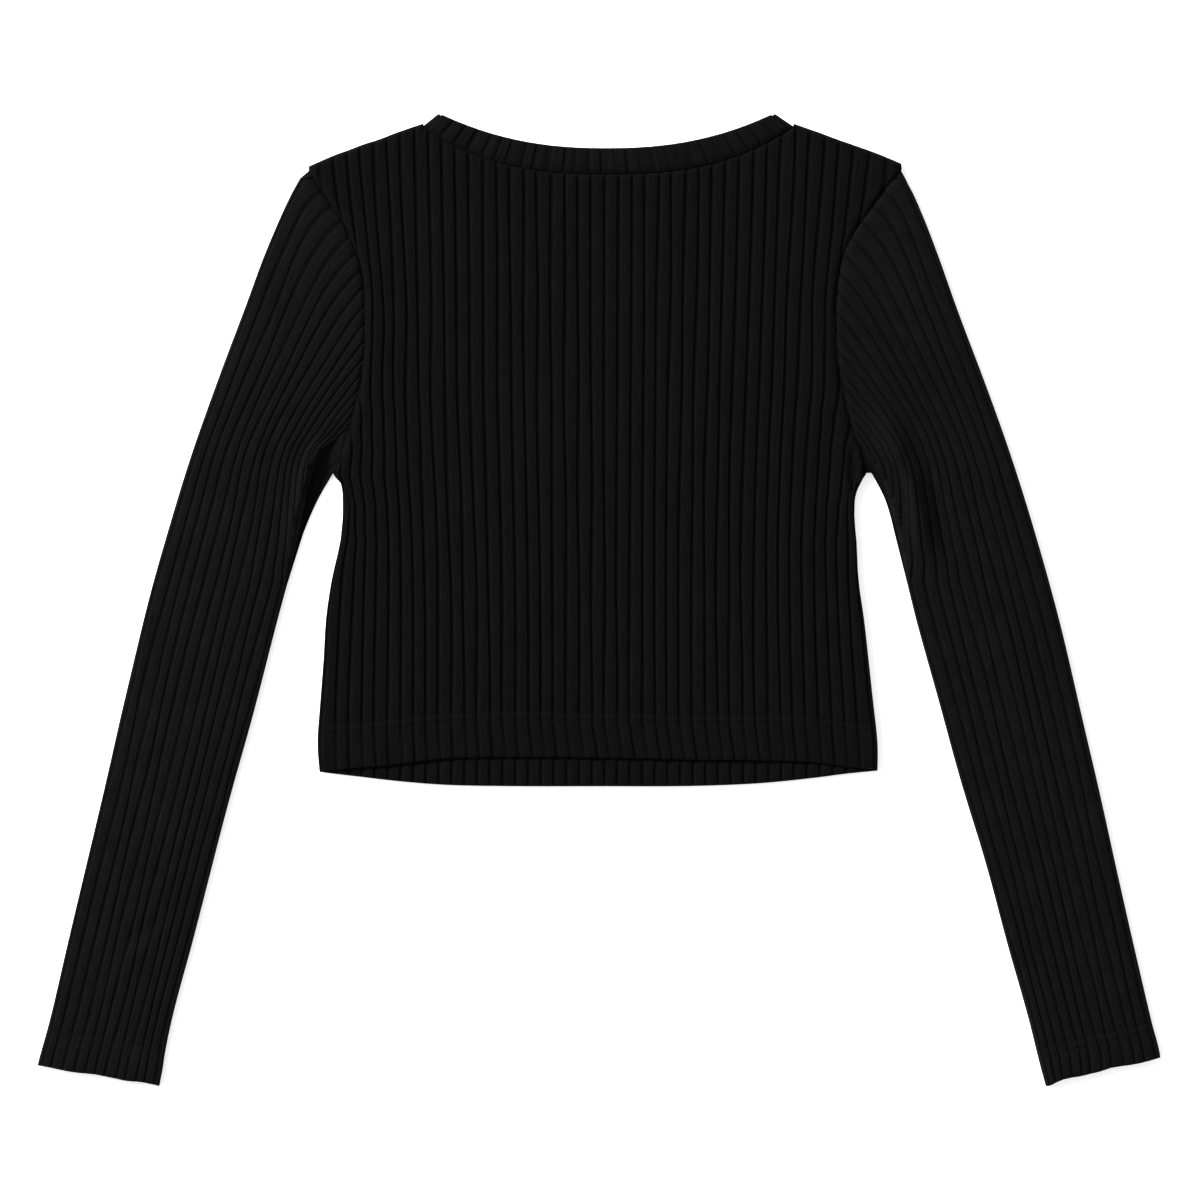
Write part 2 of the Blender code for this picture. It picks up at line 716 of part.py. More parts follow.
# Rows of a sleeve, from the armhole seam down. A cap row has its share of the rib's way from the
# seam, a roll row its turn over the tuck's edge, and a tube row its share of the way to the cuff.
CAP_ROWS = tuple(("cap", share) for share in (0.0, 0.04, 0.25, 0.42, 0.55, 0.68, 0.82))
ROLL_ROWS = (("roll", 0.0), ("roll", HALF_TURN), ("roll", TURN_END), ("floor", 0.0), ("brim", 0.0))
TUBE_SHARES = (0.18, 0.38, 0.6, 0.82)
TUBE_ROWS = tuple(("tube", share) for share in TUBE_SHARES) + (
    ("cuff", CUFF_ALLOWANCE + CUFF_STEP),
    ("cuff", CUFF_ALLOWANCE),
    ("end", 0.0),
    ("end", TURN_END),
)
SLEEVE_ROWS = CAP_ROWS + ROLL_ROWS + TUBE_ROWS
ROLL_START = len(CAP_ROWS)
BRIM_ROW = ROLL_START + len(ROLL_ROWS) - 1
LAST_ROW = len(SLEEVE_ROWS) - 1
ROLL_DROP = 16.0  # height that the roll rows take where they run on across the tube


# Rib coordinates of a sleeve's columns; those of the cap go on beyond the tube's
SLEEVE_COLUMNS = rib_columns(0.0, CAP_RIBS, (EDGE_RIB, FOREARM_RIBS - EDGE_RIB, FOREARM_RIBS))
LAST_COLUMN = len(SLEEVE_COLUMNS) - 1
TUBE_COLUMN = SLEEVE_COLUMNS.index(FOREARM_RIBS)
EDGE_AIM = 1.5  # an edge's inner face is moved in towards the rib this far from the edge


def cross_height(rib, outer, inner):
    """Height of a row that slants across the tube from its outer edge to its inner edge."""
    return mix(outer, inner, min(1.0, rib / FOREARM_RIBS))


def sleeve_plan(lines, rib, row):
    """Place of a sleeve point, and the turn of its edges."""
    kind, amount = SLEEVE_ROWS[row]
    beyond = rib > FOREARM_RIBS
    foot = lines.dive_height(rib) if beyond else cross_height(rib, CROSS_OUTER, lines.tuck_foot)
    if kind == "cap":
        y = mix(lines.seam_height(rib), foot, amount)
        x, turn = lines.rib_across(rib, y)
        return x, y, turn
    if row <= BRIM_ROW and beyond:
        edge_x = lines.tuck(foot)
        if kind == "roll":
            return edge_x + lines.tuck_margin(foot) * (1 - math.sin(amount)), foot, amount
        if kind == "floor":
            return edge_x - TUCK_STEP, foot, TURN_END
        share = (foot - lines.tuck_foot) / (lines.tuck_top - lines.tuck_foot)
        brim_y = mix(lines.tuck_foot, UNDERARM - 0.5, share)
        return lines.inner(brim_y), brim_y, TURN_END
    roll_end = cross_height(rib, CROSS_OUTER - ROLL_DROP, lines.tuck_foot - ROLL_DROP)
    if row <= BRIM_ROW:
        y = mix(foot, roll_end, (row - ROLL_START) / len(ROLL_ROWS))
    else:
        end = cross_height(rib, lines.cuff_outer, CUFF_INNER)
        if kind == "tube":
            y = mix(roll_end, end + CUFF_ALLOWANCE + 2 * CUFF_STEP, amount)
        elif kind == "cuff":
            y = end + amount
        else:
            y = end + HEM_TURN * (1 - math.sin(amount))
    x, turn = lines.rib_across(rib, y)
    return x, y, turn


def towards_middle(lines, rib, row, start, distance):
    """A point moved across the sleeve, away from its nearer edge or from the tuck's edge."""
    if rib < 1:
        aim = sleeve_plan(lines, EDGE_AIM, row)
    elif rib <= FOREARM_RIBS:
        aim = sleeve_plan(lines, FOREARM_RIBS - EDGE_AIM, row)
    else:
        aim = (start[0] + 1.0, start[1])
        distance *= lines.tuck_margin(start[1]) / SLEEVE_TURN
    run = math.dist(start, aim[:2])
    return mix(start[0], aim[0], distance / run), mix(start[1], aim[1], distance / run)


def sleeve_point(lines, column, row, lower, inner):
    rib = SLEEVE_COLUMNS[column]
    kind, amount = SLEEVE_ROWS[row]
    x, y, turn = sleeve_plan(lines, rib, row)
    past_tuck = kind in ("floor", "brim") and rib > FOREARM_RIBS
    double = kind == "end" or (kind, amount) == ("cuff", CUFF_ALLOWANCE)
    low, under = 0.0, WALL
    over, top = SLEEVE_INNER, SLEEVE_TOP
    if double:
        under, over = CUFF_INSIDE
    rise = RIB_RISE * rib_rise(rib)
    if kind == "cuff" or row == 0:
        rise *= STITCHED_RISE
    if row == 0:
        top -= SEAM_DIP
    top += rise
    bend = math.cos(turn)
    if double and kind == "end":
        close = math.cos(amount)
        top, over = mix((top + over) / 2, top, close), mix((top + over) / 2, over, close)
        low, under = mix((low + under) / 2, low, close), mix((low + under) / 2, under, close)
    top, over = mix(SLEEVE_MIDDLE, top, bend), mix(SLEEVE_MIDDLE, over, bend)
    if kind != "roll" or rib <= FOREARM_RIBS:
        low, under = mix(SLEEVE_MIDDLE, low, bend), mix(SLEEVE_MIDDLE, under, bend)
    if past_tuck:
        share = (lines.dive_height(rib) - lines.tuck_foot) / (lines.tuck_top - lines.tuck_foot)
        patch = ease((share - 1 + PATCH_SHARE) / PATCH_SHARE)
        on_floor = kind == "floor"
        top = mix(TUCK_FLOOR if on_floor else TUCK_EDGE, SLEEVE_TOP - SEAM_DIP, patch)
        low = 0.0 if on_floor else BRIM_LIFT
        if inner:
            y = lines.dive_height(rib)
            x = lines.tuck(y) + WALL * lines.tuck_margin(y) / SLEEVE_TURN
            half = POCKET_HALF[0 if on_floor else 1]
            over, under = POCKET_MIDDLE + half, POCKET_MIDDLE - half
    elif inner and turn:
        x, y = towards_middle(lines, rib, row, (x, y), WALL * math.sin(turn))
    z = (under if inner else low) if lower else (over if inner else top)
    return lines.side * x, y, z


def sleeve(name, lines):
    bm = grid_of(LAST_COLUMN + 1, LAST_ROW + 1, lambda column, row: row < BRIM_ROW or column < TUBE_COLUMN)
    second_sheet(bm, "lower")
    column = bm.verts.layers.int["column"]
    row = bm.verts.layers.int["row"]
    lower = bm.verts.layers.int["lower"]
    openings = []
    for face in bm.faces:
        if len({v[lower] for v in face.verts}) == 1:
            continue
        on_seam = all(v[row] == 0 for v in face.verts) or all(v[column] == LAST_COLUMN for v in face.verts)
        on_cuff = all(v[row] == LAST_ROW for v in face.verts)
        if on_seam or on_cuff:
            openings.append(face)
    bmesh.ops.delete(bm, geom=openings, context="FACES")
    second_sheet(bm, "inner")
    return finish_piece(bm, name, lambda *key: sleeve_point(lines, *key))


# ---------- neckband ----------

# Columns round the band: the back's share from left to right, a fold's turn, the front's share back
FRONT_BAND_STEPS = 24
BAND_COLUMNS = []
for rib_number in range(BAND_RIBS):
    for place_in_rib in (0.0, GROOVE_HALF, 1 - GROOVE_HALF):
        BAND_COLUMNS.append(("back", (rib_number + place_in_rib) / BAND_RIBS))
BAND_COLUMNS.append(("back", 1.0))
BAND_COLUMNS += [("right", math.radians(turn)) for turn in (30, 60, 90, 120, 150)]
BAND_COLUMNS += [("front", step / FRONT_BAND_STEPS) for step in range(1, FRONT_BAND_STEPS)]
BAND_COLUMNS += [("left", math.radians(turn)) for turn in (150, 120, 90, 60, 30)]
BAND_ROWS = (("free", TURN_END), ("free", 0.0), ("seam", 2.0), ("seam", 0.0))
BAND_EDGE = 1.2
BAND_FOLD_SHARE = 0.011  # share of the back's length that each fold takes
BAND_FOLD_LIFT = 0.36  # how far a fold's seam edge rises for each millimetre that it lies further in


def band_edges(part, share):
    """The band's seam edge and free edge at a share of its way round the back or the front."""
    if part == "back":
        across = (2 * share - 1) * (1 - 2 * BAND_FOLD_SHARE)
        seam_x = NECK_MIDDLE + NECK_HALF * across
        seam = (seam_x, back_neck(seam_x))
        free_y = BAND_TIP - BAND_DROP * (1 - abs(across) ** BAND_POWER)
        return seam, (BAND_TIP_MIDDLE + BAND_TIP_HALF * across, free_y)
    across = math.cos(math.pi * share)
    seam_x = NECK_MIDDLE + NECK_HALF * across
    free_y = BAND_TIP - FRONT_BAND_DROP * (1 - abs(across) ** FRONT_NECK_POWER)
    return (seam_x, front_neck(seam_x)), (BAND_TIP_MIDDLE + BAND_TIP_HALF * across, free_y)


def band_tip(side):
    """The line on which the band folds over at one end of the neck, as its seam end and its free end."""
    seam = (NECK_MIDDLE + side * NECK_HALF, NECK_CORNER)
    return seam, (BAND_TIP_MIDDLE + side * BAND_TIP_HALF, BAND_TIP)


def band_place(column, row, lower, inner):
    part, amount = BAND_COLUMNS[column]
    kind, edge = BAND_ROWS[row]
    folded = part in ("left", "right")
    seam, free = band_tip(1 if part == "right" else -1) if folded else band_edges(part, amount)
    width = math.dist(seam, free)
    if kind == "free":
        share = 1 - BAND_EDGE * (1 - math.sin(edge)) / width
    else:
        share = (edge + SEAM_GAP / 2 + CHORD) / width
    x, y = mix(seam[0], free[0], share), mix(seam[1], free[1], share)
    round_edge = math.cos(edge) if kind == "free" else 1.0
    rise = BAND_RISE * rib_rise(amount * BAND_RIBS + 0.5) if part == "back" else 0.0
    if (kind, edge) == ("seam", 0.0):
        rise *= STITCHED_RISE
    outer_top = BAND_BACK_INNER + BAND_THICK + rise
    upper = (BAND_BACK_INNER, outer_top)
    under = (BAND_THICK, 0.0)
    if folded:
        radius_out = (BAND_BACK_INNER + BAND_THICK) / 2
        radius_in = (BAND_BACK_INNER - BAND_THICK) / 2
        radius_mid = (radius_out + radius_in) / 2
        radius = mix(radius_mid, radius_in if inner else radius_out, round_edge)
        outward_x, outward_y = free[1] - seam[1], -(free[0] - seam[0])
        if part == "left":
            outward_x, outward_y = -outward_x, -outward_y
        reach = (radius * math.sin(amount) - radius_out) / width
        lift = -BAND_FOLD_LIFT * reach if kind == "seam" else 0.0
        x += outward_x * reach + (free[0] - seam[0]) * lift
        y += outward_y * reach + (free[1] - seam[1]) * lift
        return x, y, radius_out + radius * math.cos(amount)
    faces = upper if part == "back" else under
    centre = (faces[0] + faces[1]) / 2
    z = mix(centre, faces[0] if inner else faces[1], round_edge)
    return x, y, z


def neckband():
    columns = len(BAND_COLUMNS)
    bm = grid_of(columns + 1, len(BAND_ROWS), lambda *cell: True)
    column = bm.verts.layers.int["column"]
    row = bm.verts.layers.int["row"]
    first = {v[row]: v for v in bm.verts if v[column] == 0}
    closing = {v: first[v[row]] for v in bm.verts if v[column] == columns}
    bmesh.ops.weld_verts(bm, targetmap=closing)
    second_sheet(bm, "inner")
    return finish_piece(bm, "neckband", band_place)


def main():
    for leftover in list(bpy.data.objects):
        bpy.data.objects.remove(leftover)
    body_panel("back", BACK_ROWS, back_place)
    body_panel("front", FRONT_ROWS, front_place)
    sleeve("sleeve_left", LEFT_LINES)
    sleeve("sleeve_right", RIGHT_LINES)
    neckband()


main()
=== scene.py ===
# %% [markdown]
# # A cropped sweater in wide rib knit, laid flat with its back up
# The frame is the imported model: five flat solids that say where each piece of cloth lies. Here each
# of them is replaced by a finer wall of knit on the same form, with every rib rounded, the seams
# sunk, the hems stitched and the soft folds under the arms shaped one by one.
# All lengths are in millimetres until a mesh is made. +X is the garment's right-hand side as it
# lies, +Y runs from hem to neck, and +Z is up from the surface.

# %% Load the frame
import math
from collections import namedtuple

import bmesh
import bpy
import numpy as np
from mathutils import Matrix, Vector


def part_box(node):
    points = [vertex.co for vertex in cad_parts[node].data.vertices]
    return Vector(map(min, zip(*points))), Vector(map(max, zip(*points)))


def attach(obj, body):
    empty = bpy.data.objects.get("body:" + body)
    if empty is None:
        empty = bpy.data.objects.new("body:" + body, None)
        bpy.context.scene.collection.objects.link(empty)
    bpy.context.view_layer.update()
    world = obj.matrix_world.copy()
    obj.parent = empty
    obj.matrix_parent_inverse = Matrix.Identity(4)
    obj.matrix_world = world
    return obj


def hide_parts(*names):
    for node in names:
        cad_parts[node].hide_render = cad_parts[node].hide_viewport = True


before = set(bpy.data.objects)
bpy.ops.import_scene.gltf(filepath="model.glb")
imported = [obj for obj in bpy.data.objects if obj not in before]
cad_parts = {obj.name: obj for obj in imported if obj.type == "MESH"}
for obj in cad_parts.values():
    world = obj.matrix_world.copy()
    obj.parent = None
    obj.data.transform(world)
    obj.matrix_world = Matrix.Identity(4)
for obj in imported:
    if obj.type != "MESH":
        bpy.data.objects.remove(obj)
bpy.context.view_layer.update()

MM = 0.001
TINY = 0.001  # keeps comparisons and divisions safe
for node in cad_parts:
    low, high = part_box(node)
    print(node, [round(1000 * v, 1) for v in (*low, *high)])

# %% [markdown]
# ## Sizes
# The tables are a row for each height, as a pattern maker would write down the half widths of a flat
# garment. They are those of the solids, with a few rows and rib counts a little finer. The knit is a
# 4 by 2 rib, so a rib is four wales wide and a groove two.

# %% Sizes of the cloth
WALL = 1.5  # thickness of one wall of knit without its ribs
DOUBLE = 2.4  # thickness of a turned-up hem
RIB_RISE = 0.95  # a rib's height over its grooves on the upper side
UNDER_RISE = 0.5  # and on the side that the garment lies on, which its own weight presses flat
SEAM_LAP = 0.25  # how far each piece runs on past a seam, so that no light shows through it
LAP_START = 6.0  # and over what height this begins below the shoulder's point
SEAM_STEP = 2.6  # how far from a seam the ribs are flatter,
SEAM_FLAT = 0.5  # by this share of their height
SEAM_DIP = 1.3  # how far the cloth sinks along a seam,
DIP_WIDTH = 1.3  # half the width of that hollow,
NECK_DIP = 0.5  # and how much more it sinks along the neck,
NECK_DIP_WIDTH = 1.0  # in a narrower hollow
STITCH_FLAT = 0.5  # share of a rib's height that a row of stitches takes away,
STITCH_REACH = 1.3  # and how far from it
TURNED_EDGE = 4.0  # height over which a turned-up hem thins out at its upper edge
FAR = 200.0  # stands for a distance where there is no seam or cuff at all

# Heights over the surface: the layers' faces and the folds where two layers meet
BACK_INNER = 3.3
BACK_TOP = BACK_INNER + WALL
HEM_BACK_INNER = 2.95
SIDE_SEAM_HEIGHT = 3.0
SLEEVE_INNER = 3.0
SLEEVE_TOP = SLEEVE_INNER + WALL
SLEEVE_MIDDLE = 2.3
LEAST_WALL = {"body": 0.6, "sleeve": 0.7}  # however deep a fold sinks

# Widths over which a rounded edge turns, and how far round it goes
SIDE_TURN = 4.5
SHOULDER_TURN = 3.6
HEM_TURN = 2.0
SLEEVE_TURN = 3.5
TURN_END = math.radians(75)
TURN_SHARE = 0.4  # the most of its room that a turn may take

# Ribs of the body, counted from its middle
HEM_RIB = 22.0
FLAT_RIB = 21.2  # the side fold turns beyond this rib,
WAIST_FLAT_RIB = 20.5  # and beyond this one where the side is drawn in most
WAIST = 44.0  # the height at which this is so,
WAIST_REACH = 45.0  # and how far from it
FOLD_START = 15.0  # height over which the side fold begins below the underarm
ARMHOLE_RIB = 18.0  # the armhole cuts furthest in at this rib
SHOULDER_RIB = 21.0
SEAM_TAPER = 2.2  # power by which the armhole cuts off the outer ribs
SIDE_DRAW = 6  # power by which the outer ribs follow the side where it is drawn in
LAST_DRAW = 60  # power by which only the last rib takes up what is uneven in the edge,
EVEN_STEPS = (-38.0, -19.0, 0.0, 19.0, 38.0)  # against the edge averaged over these heights

# %% Tables of the outline
# Height, left edge, right edge
BODY_SIDE = (
    (-107.0, -173.0, 172.4),
    (-90.0, -174.2, 172.4),
    (-62.0, -172.4, 169.5),
    (-37.0, -170.5, 166.8),
    (-12.0, -169.0, 164.0),
    (12.0, -165.5, 160.6),
    (37.0, -160.0, 159.3),
    (50.0, -158.7, 158.1),
    (61.0, -158.6, 158.3),
    (67.0, -158.9, 159.6),
    (73.0, -160.3, 162.4),
    (79.0, -163.4, 165.6),
)
ARMHOLE = (
    (79.0, -163.1, 164.5),
    (92.0, -158.9, 162.0),
    (105.0, -155.0, 157.5),
    (118.0, -151.2, 153.6),
    (130.0, -148.6, 151.0),
    (150.0, -145.2, 147.3),
    (170.0, -144.5, 146.3),
    (190.0, -145.2, 147.3),
    (205.0, -147.5, 149.4),
    (220.0, -152.3, 154.3),
    (235.0, -159.5, 163.5),
    (250.0, -170.1, 174.8),
    (266.0, -179.6, 187.2),
)
UNDERARM = ARMHOLE[0][0]
ARMHOLE_LOW = 165.0  # the armhole is narrowest between these two heights
ARMHOLE_HIGH = 173.0
SHOULDER_POINT = ARMHOLE[-1][0]
# Distance from the middle of the neck, height
SHOULDER = (
    (115.0, 294.6),
    (120.0, 293.0),
    (126.0, 290.8),
    (136.0, 287.0),
    (150.0, 282.2),
    (168.0, 275.6),
    (186.0, 267.8),
    (196.0, 263.0),
)
# Distance across, back's hem, front's hem
HEM = (
    (-173.0, -106.0, -106.9),
    (-150.0, -104.2, -109.6),
    (-125.0, -102.0, -112.5),
    (-96.0, -98.6, -114.8),
    (-60.0, -97.7, -115.6),
    (0.0, -98.2, -115.7),
    (60.0, -99.4, -115.5),
    (100.0, -99.8, -113.8),
    (134.0, -101.0, -110.4),
    (154.0, -103.7, -107.8),
    (172.4, -105.2, -106.0),
)
HEM_LEVEL = -100.0  # height at which a rib's place along the hem is read
FRONT_ALLOWANCE_TOP = -91.2
STRIP_LEAST = 1.8  # the strip of the front below the back's hem is at least this deep,
STRIP_STEP = 0.8  # ends this far under the back's hem,
STRIP_FADE = 4.0  # and has its ribs at full height where it is this deep
NEEDLE_ROWS = (22.3, 27.0)  # height of the two rows of stitches above the hem's fold
# Rib pitch across the body: height, left of the middle, right of it
PITCH = (
    (-110.0, 7.90, 7.80),
    (0.0, 7.93, 7.70),
    (62.0, 8.10, 7.74),
    (124.0, 8.30, 7.90),
    (200.0, 8.35, 8.15),
    (296.0, 8.45, 8.35),
)

# Neck: place across, height of its corners, and how far and how squarely it dips between them
NECK_MIDDLE = 5.6
NECK_HALF = 114.7
NECK_CORNER = 293.0
NECK_DROP = 29.2
NECK_POWER = 2.65
FRONT_NECK_DROP = 92.0
FRONT_NECK_POWER = 3.2
# The same of the neckband's free edge, then the band's own sizes
BAND_TIP_MIDDLE = 4.65
BAND_TIP_HALF = 103.85
BAND_TIP = 301.0
BAND_DROP = 21.7
BAND_POWER = 2.3
FRONT_BAND_DROP = 84.5
BAND_THICK = 1.9
BAND_BACK_INNER = 3.2
BAND_RISE = 0.75
BAND_RIBS = 27

# Height, left outer, left inner, right outer, right inner edge, as distances from the middle
SLEEVE = (
    (266.0, 182.0, None, 187.9, None),
    (260.0, 185.6, None, 190.0, None),
    (252.0, 190.0, None, 194.3, None),
    (235.0, 198.0, None, 201.6, None),
    (210.0, 208.6, None, 211.0, None),
    (185.0, 217.8, None, 220.0, None),
    (136.0, 236.2, None, 238.4, None),
    (86.0, 253.8, None, 256.0, None),
    (78.5, None, 164.8, None, 169.0),
    (61.7, None, 174.4, None, 177.4),
    (37.0, 268.5, 184.8, 271.2, 184.2),
    (12.0, None, 192.2, None, 190.4),
    (-13.0, 282.2, 199.0, 285.0, 196.6),
    (-62.0, 293.8, 211.8, 296.8, 210.2),
    (-112.0, 305.1, 225.5, 308.2, 223.9),
    (-161.0, 316.7, 238.6, 319.3, 238.6),
    (-211.0, 328.6, 251.5, 330.6, 252.3),
    (-260.0, 340.2, 264.5, 342.0, 265.9),
    (-284.0, 346.7, 269.3, 347.8, 271.8),
    (-288.6, 347.8, 269.9, 347.9, 273.0),
    (-301.0, None, 272.2, None, 276.5),
)
CUFF_OUTER = {-1: -288.6, 1: -283.7}
CUFF_INNER = -301.0
CUFF_NEEDLE_ROWS = (16.9, 21.4)
# The tuck's edge under each arm: height and distance, left, then right
TUCK = (
    (105.5, 155.1, 96.0, 160.9),
    (96.5, 165.4, 87.0, 167.2),
    (89.5, 171.6, 80.0, 172.0),
    (82.5, 175.4, 71.0, 176.6),
    (75.0, 178.3, 64.0, 178.9),
    (60.0, 182.0, 54.0, 181.6),
    (44.0, 185.0, 44.0, 184.4),
    (24.5, 187.8, 24.5, 188.4),
)
TUCK_POWER = 0.5  # power by which the ribs run out at the tuck's edge from its foot to its top
TUCK_START = 12.0  # height over which the tuck's edge becomes round below its top
TUCK_FLOOR = 0.9  # height of the strip beyond the tuck, beside its edge
TUCK_EDGE = 0.7  # and along the sleeve's outline
PATCH_SHARES = {-1: 0.35, 1: 0.42}  # share of the tuck that lies open and level beside the web, by side
PATCH_TOP = 3.4
PATCH_BEND = 1.5  # the patch is level once the edge has bent so far, which is 1 less the cosine
POCKET_MIDDLE = 0.7  # height of the narrow room inside the strip,
POCKET_HALF = (0.12, 0.05)  # and half its depth at both its edges
ROLL_MIDDLE = 2.8  # height of the tuck's edge itself, and of the
ROLL_UNDER = 1.7  # cloth that has turned back under it
TUCKED_UNDER = 0.2  # how far under the tuck's edge the strip begins, as a share of the edge's width
WEB_SHARE = 0.8  # the last ribs of the tuck end on the short web between sleeve and body
WEB_BOW = 4  # power by which the web follows the bend of the armhole
BRIM_LIFT = 0.4  # how far the strip's outline is off the surface
STRIP_RISE = 0.5  # height of the ribs on the strip, where one groove runs along it,
STRIP_RIB = 0.8  # and the rib coordinate at the tuck's edge

# Ribs of a sleeve, counted from its outer edge
CAP_RIBS = 17.0
CAP_CROWDING = 0.55  # how much closer the ribs leave the seam near the underarm,
CROWDING_REACH = 26.0  # and over what height
FOREARM_RIBS = 12.0
EDGE_RIB = 0.6  # what lies round the rounded outer edge
CROSS_OUTER = 45.6  # height at the outer edge of the line across the sleeve at the tuck's foot
ROLL_DROP = 16.0  # how far below that line the sleeve is a plain tube
FOOT_BLEND = 14.0  # height over which the inner edge becomes a rounded one below the tuck's foot
SHOULDER_REACH = 6.0  # height over which the sleeve leaves the shoulder's point
BELOW_UNDERARM = 0.5  # the strip's outline ends this far below the underarm
ABOVE_CUFF = 3.0  # and the tube's even rows this far above the cuff's
CUFF_INSIDE = (2.0, 2.6)  # heights of the inner faces in the doubled cuff
# Pitch of the sleeve's outer ribs, measured straight across: height, pitch
OUTER_PITCH = (
    (-301.0, 7.0),
    (-62.0, 7.3),
    (24.0, 7.3),
    (62.0, 7.0),
    (86.0, 6.6),
    (106.0, 6.6),
    (150.0, 7.6),
    (266.0, 9.0),
)
PITCH_LIMITS = (0.7, 1.3)  # of the outer ribs' pitch against the mean one
SQUEEZE = 3  # power by which the inner ribs take up the rest

# %% [markdown]
# ## Lines and soft creases
# Every place on the cloth is worked out for whole rows of points at once. A crease is a soft trough
# or ridge along a short line of points: on the real garment it is where the cloth has slid or
# buckled a little when it was laid out, so no two are alike.

# %% Helpers for lines


def smooth(points):
    """A smooth function through (place, value) points in order of place, straight beyond its ends."""
    xs = np.array([p[0] for p in points], float)
    ys = np.array([p[1] for p in points], float)
    if xs[0] > xs[-1]:
        xs, ys = xs[::-1], ys[::-1]
    slopes = np.diff(ys) / np.diff(xs)
    tangents = np.concatenate((slopes[:1], (slopes[1:] + slopes[:-1]) / 2, slopes[-1:]))

    def value(x):
        x = np.asarray(x, float)
        k = np.clip(np.searchsorted(xs, x, side="right") - 1, 0, len(xs) - 2)
        step = xs[k + 1] - xs[k]
        along = (x - xs[k]) / step
        t = np.clip(along, 0, 1)
        rise = ys[k] * (1 + 2 * t) + tangents[k] * step * t
        fall = ys[k + 1] * (3 - 2 * t) - tangents[k + 1] * step * (1 - t)
        beyond = (along - t) * step * np.where(along < 0, tangents[0], tangents[-1])
        return rise * (1 - t) ** 2 + fall * t**2 + beyond

    return value


def column_of(table, place, value):
    """A smooth function from two columns of a table, without the rows that leave the value out."""
    return smooth([(row[place], row[value]) for row in table if row[value] is not None])


def slope_of(line, place):
    """How much a line's value changes in one millimetre there."""
    return line(place + 0.5) - line(place - 0.5)


def beside(line, place, away):
    """The value of a line at a place, moved sideways so that it stays the same distance away."""
    return line(place) + away * np.hypot(1.0, slope_of(line, place))


def mix(a, b, share):
    """A value from a at share 0 to b at share 1."""
    return a + (b - a) * share


def ease(share):
    """A smooth step from 0 to 1."""
    share = np.clip(share, 0.0, 1.0)
    return share * share * (3 - 2 * share)


def bell(distance, width):
    """A soft hump that is 1 at no distance."""
    return np.exp(-((distance / width) ** 2))


def sway(a, b, seed=0.0):
    """A slow, uneven wave from -1 to 1 over two coordinates."""
    first = np.sin(a * 1.00 + 1.3 * np.sin(b * 0.83 + seed) + seed)
    second = np.sin(b * 1.17 + 1.1 * np.sin(a * 0.71 - seed) + 2.1 * seed + 0.7)
    third = np.sin(0.63 * a - 0.77 * b + 3.7 * seed)
    return (first + second + third) / 3


def wander(shape, y, rib, seed=0.0):
    """How far a rib wanders to its side along its way, and another way on each rib."""
    size, length, turn, bend, bend_length, bend_turn = shape
    bent = bend * np.sin(y / bend_length + bend_turn * rib + seed)
    return size * np.sin(y / length + turn * rib + bent)


def swell(shape, a, b, seed):
    """A slow unevenness: its size, and the lengths over which it comes and goes."""
    size, a_length, b_length = shape
    return size * sway(a / a_length, b / b_length, seed)


CREASE_FADE = 0.3  # a crease fades in and out over this share of its length


def crease(x, y, line, width, height):
    """Height of one soft trough or ridge along a line of points, faded out towards both its ends."""
    points = np.array(line, float)
    runs = np.hypot(*np.diff(points, axis=0).T)
    whole = runs.sum()
    nearest = np.full(np.shape(x), np.inf)
    place = np.zeros(np.shape(x))
    before = 0.0
    for start, end, run in zip(points, points[1:], runs):
        way = (end - start) / run
        t = np.clip((x - start[0]) * way[0] + (y - start[1]) * way[1], 0, run)
        off = np.hypot(x - start[0] - t * way[0], y - start[1] - t * way[1])
        closer = off < nearest
        nearest = np.where(closer, off, nearest)
        place = np.where(closer, (before + t) / whole, place)
        before += run
    ends = ease(place / CREASE_FADE) * ease((1 - place) / CREASE_FADE)
    return height * bell(nearest, width) * ends


# %% [markdown]
# ## Walls of cloth
# A knitted panel is a grid to begin with: wales run one way and courses the other. So each wall is
# made from one flat grid whose columns follow the wales. Extruding the whole sheet gives it a lower
# layer where it is a tube, and once more its inner face. Then every point moves to its place.

# %% Helpers for walls
# Columns of the grid between two grooves, in ribs
RIB_STEPS = (0.09, 0.13, 0.17, 0.22, 0.5, 0.78, 0.83, 0.87, 0.91)
GROOVE_EDGE = 0.07  # a rib starts to rise this far from its groove's middle, in ribs,
GROOVE_WALL = 0.13  # and is at its full height this much further on
EDGE_WALE = 0.14  # how much prouder its outer wales are, as a share of its height,
EDGE_WALE_AT = 0.2  # how far they are from the groove's middle,
EDGE_WALE_WIDTH = 0.06  # and how wide they are
CROWN = 0.06  # how much lower a rib's shoulders are than its middle, as a share of its height
LEAST_COLUMN = 0.012  # columns are at least this far apart
KNIT_PITCH = 7.85  # millimetres that one unit of the knit's own coordinates stands for


def rib_profile(rib):
    """Height of the knit at a rib coordinate, from 0 in a groove to about 1 on a rib."""
    to_groove = np.abs(rib - np.floor(rib) - 0.5)
    crown = 1 - CROWN * (1 - np.sin(np.pi * np.clip(to_groove, 0, 0.5)))
    proud = EDGE_WALE * bell(to_groove - EDGE_WALE_AT, EDGE_WALE_WIDTH)
    return ease((to_groove - GROOVE_EDGE) / GROOVE_WALL) * (crown + proud)


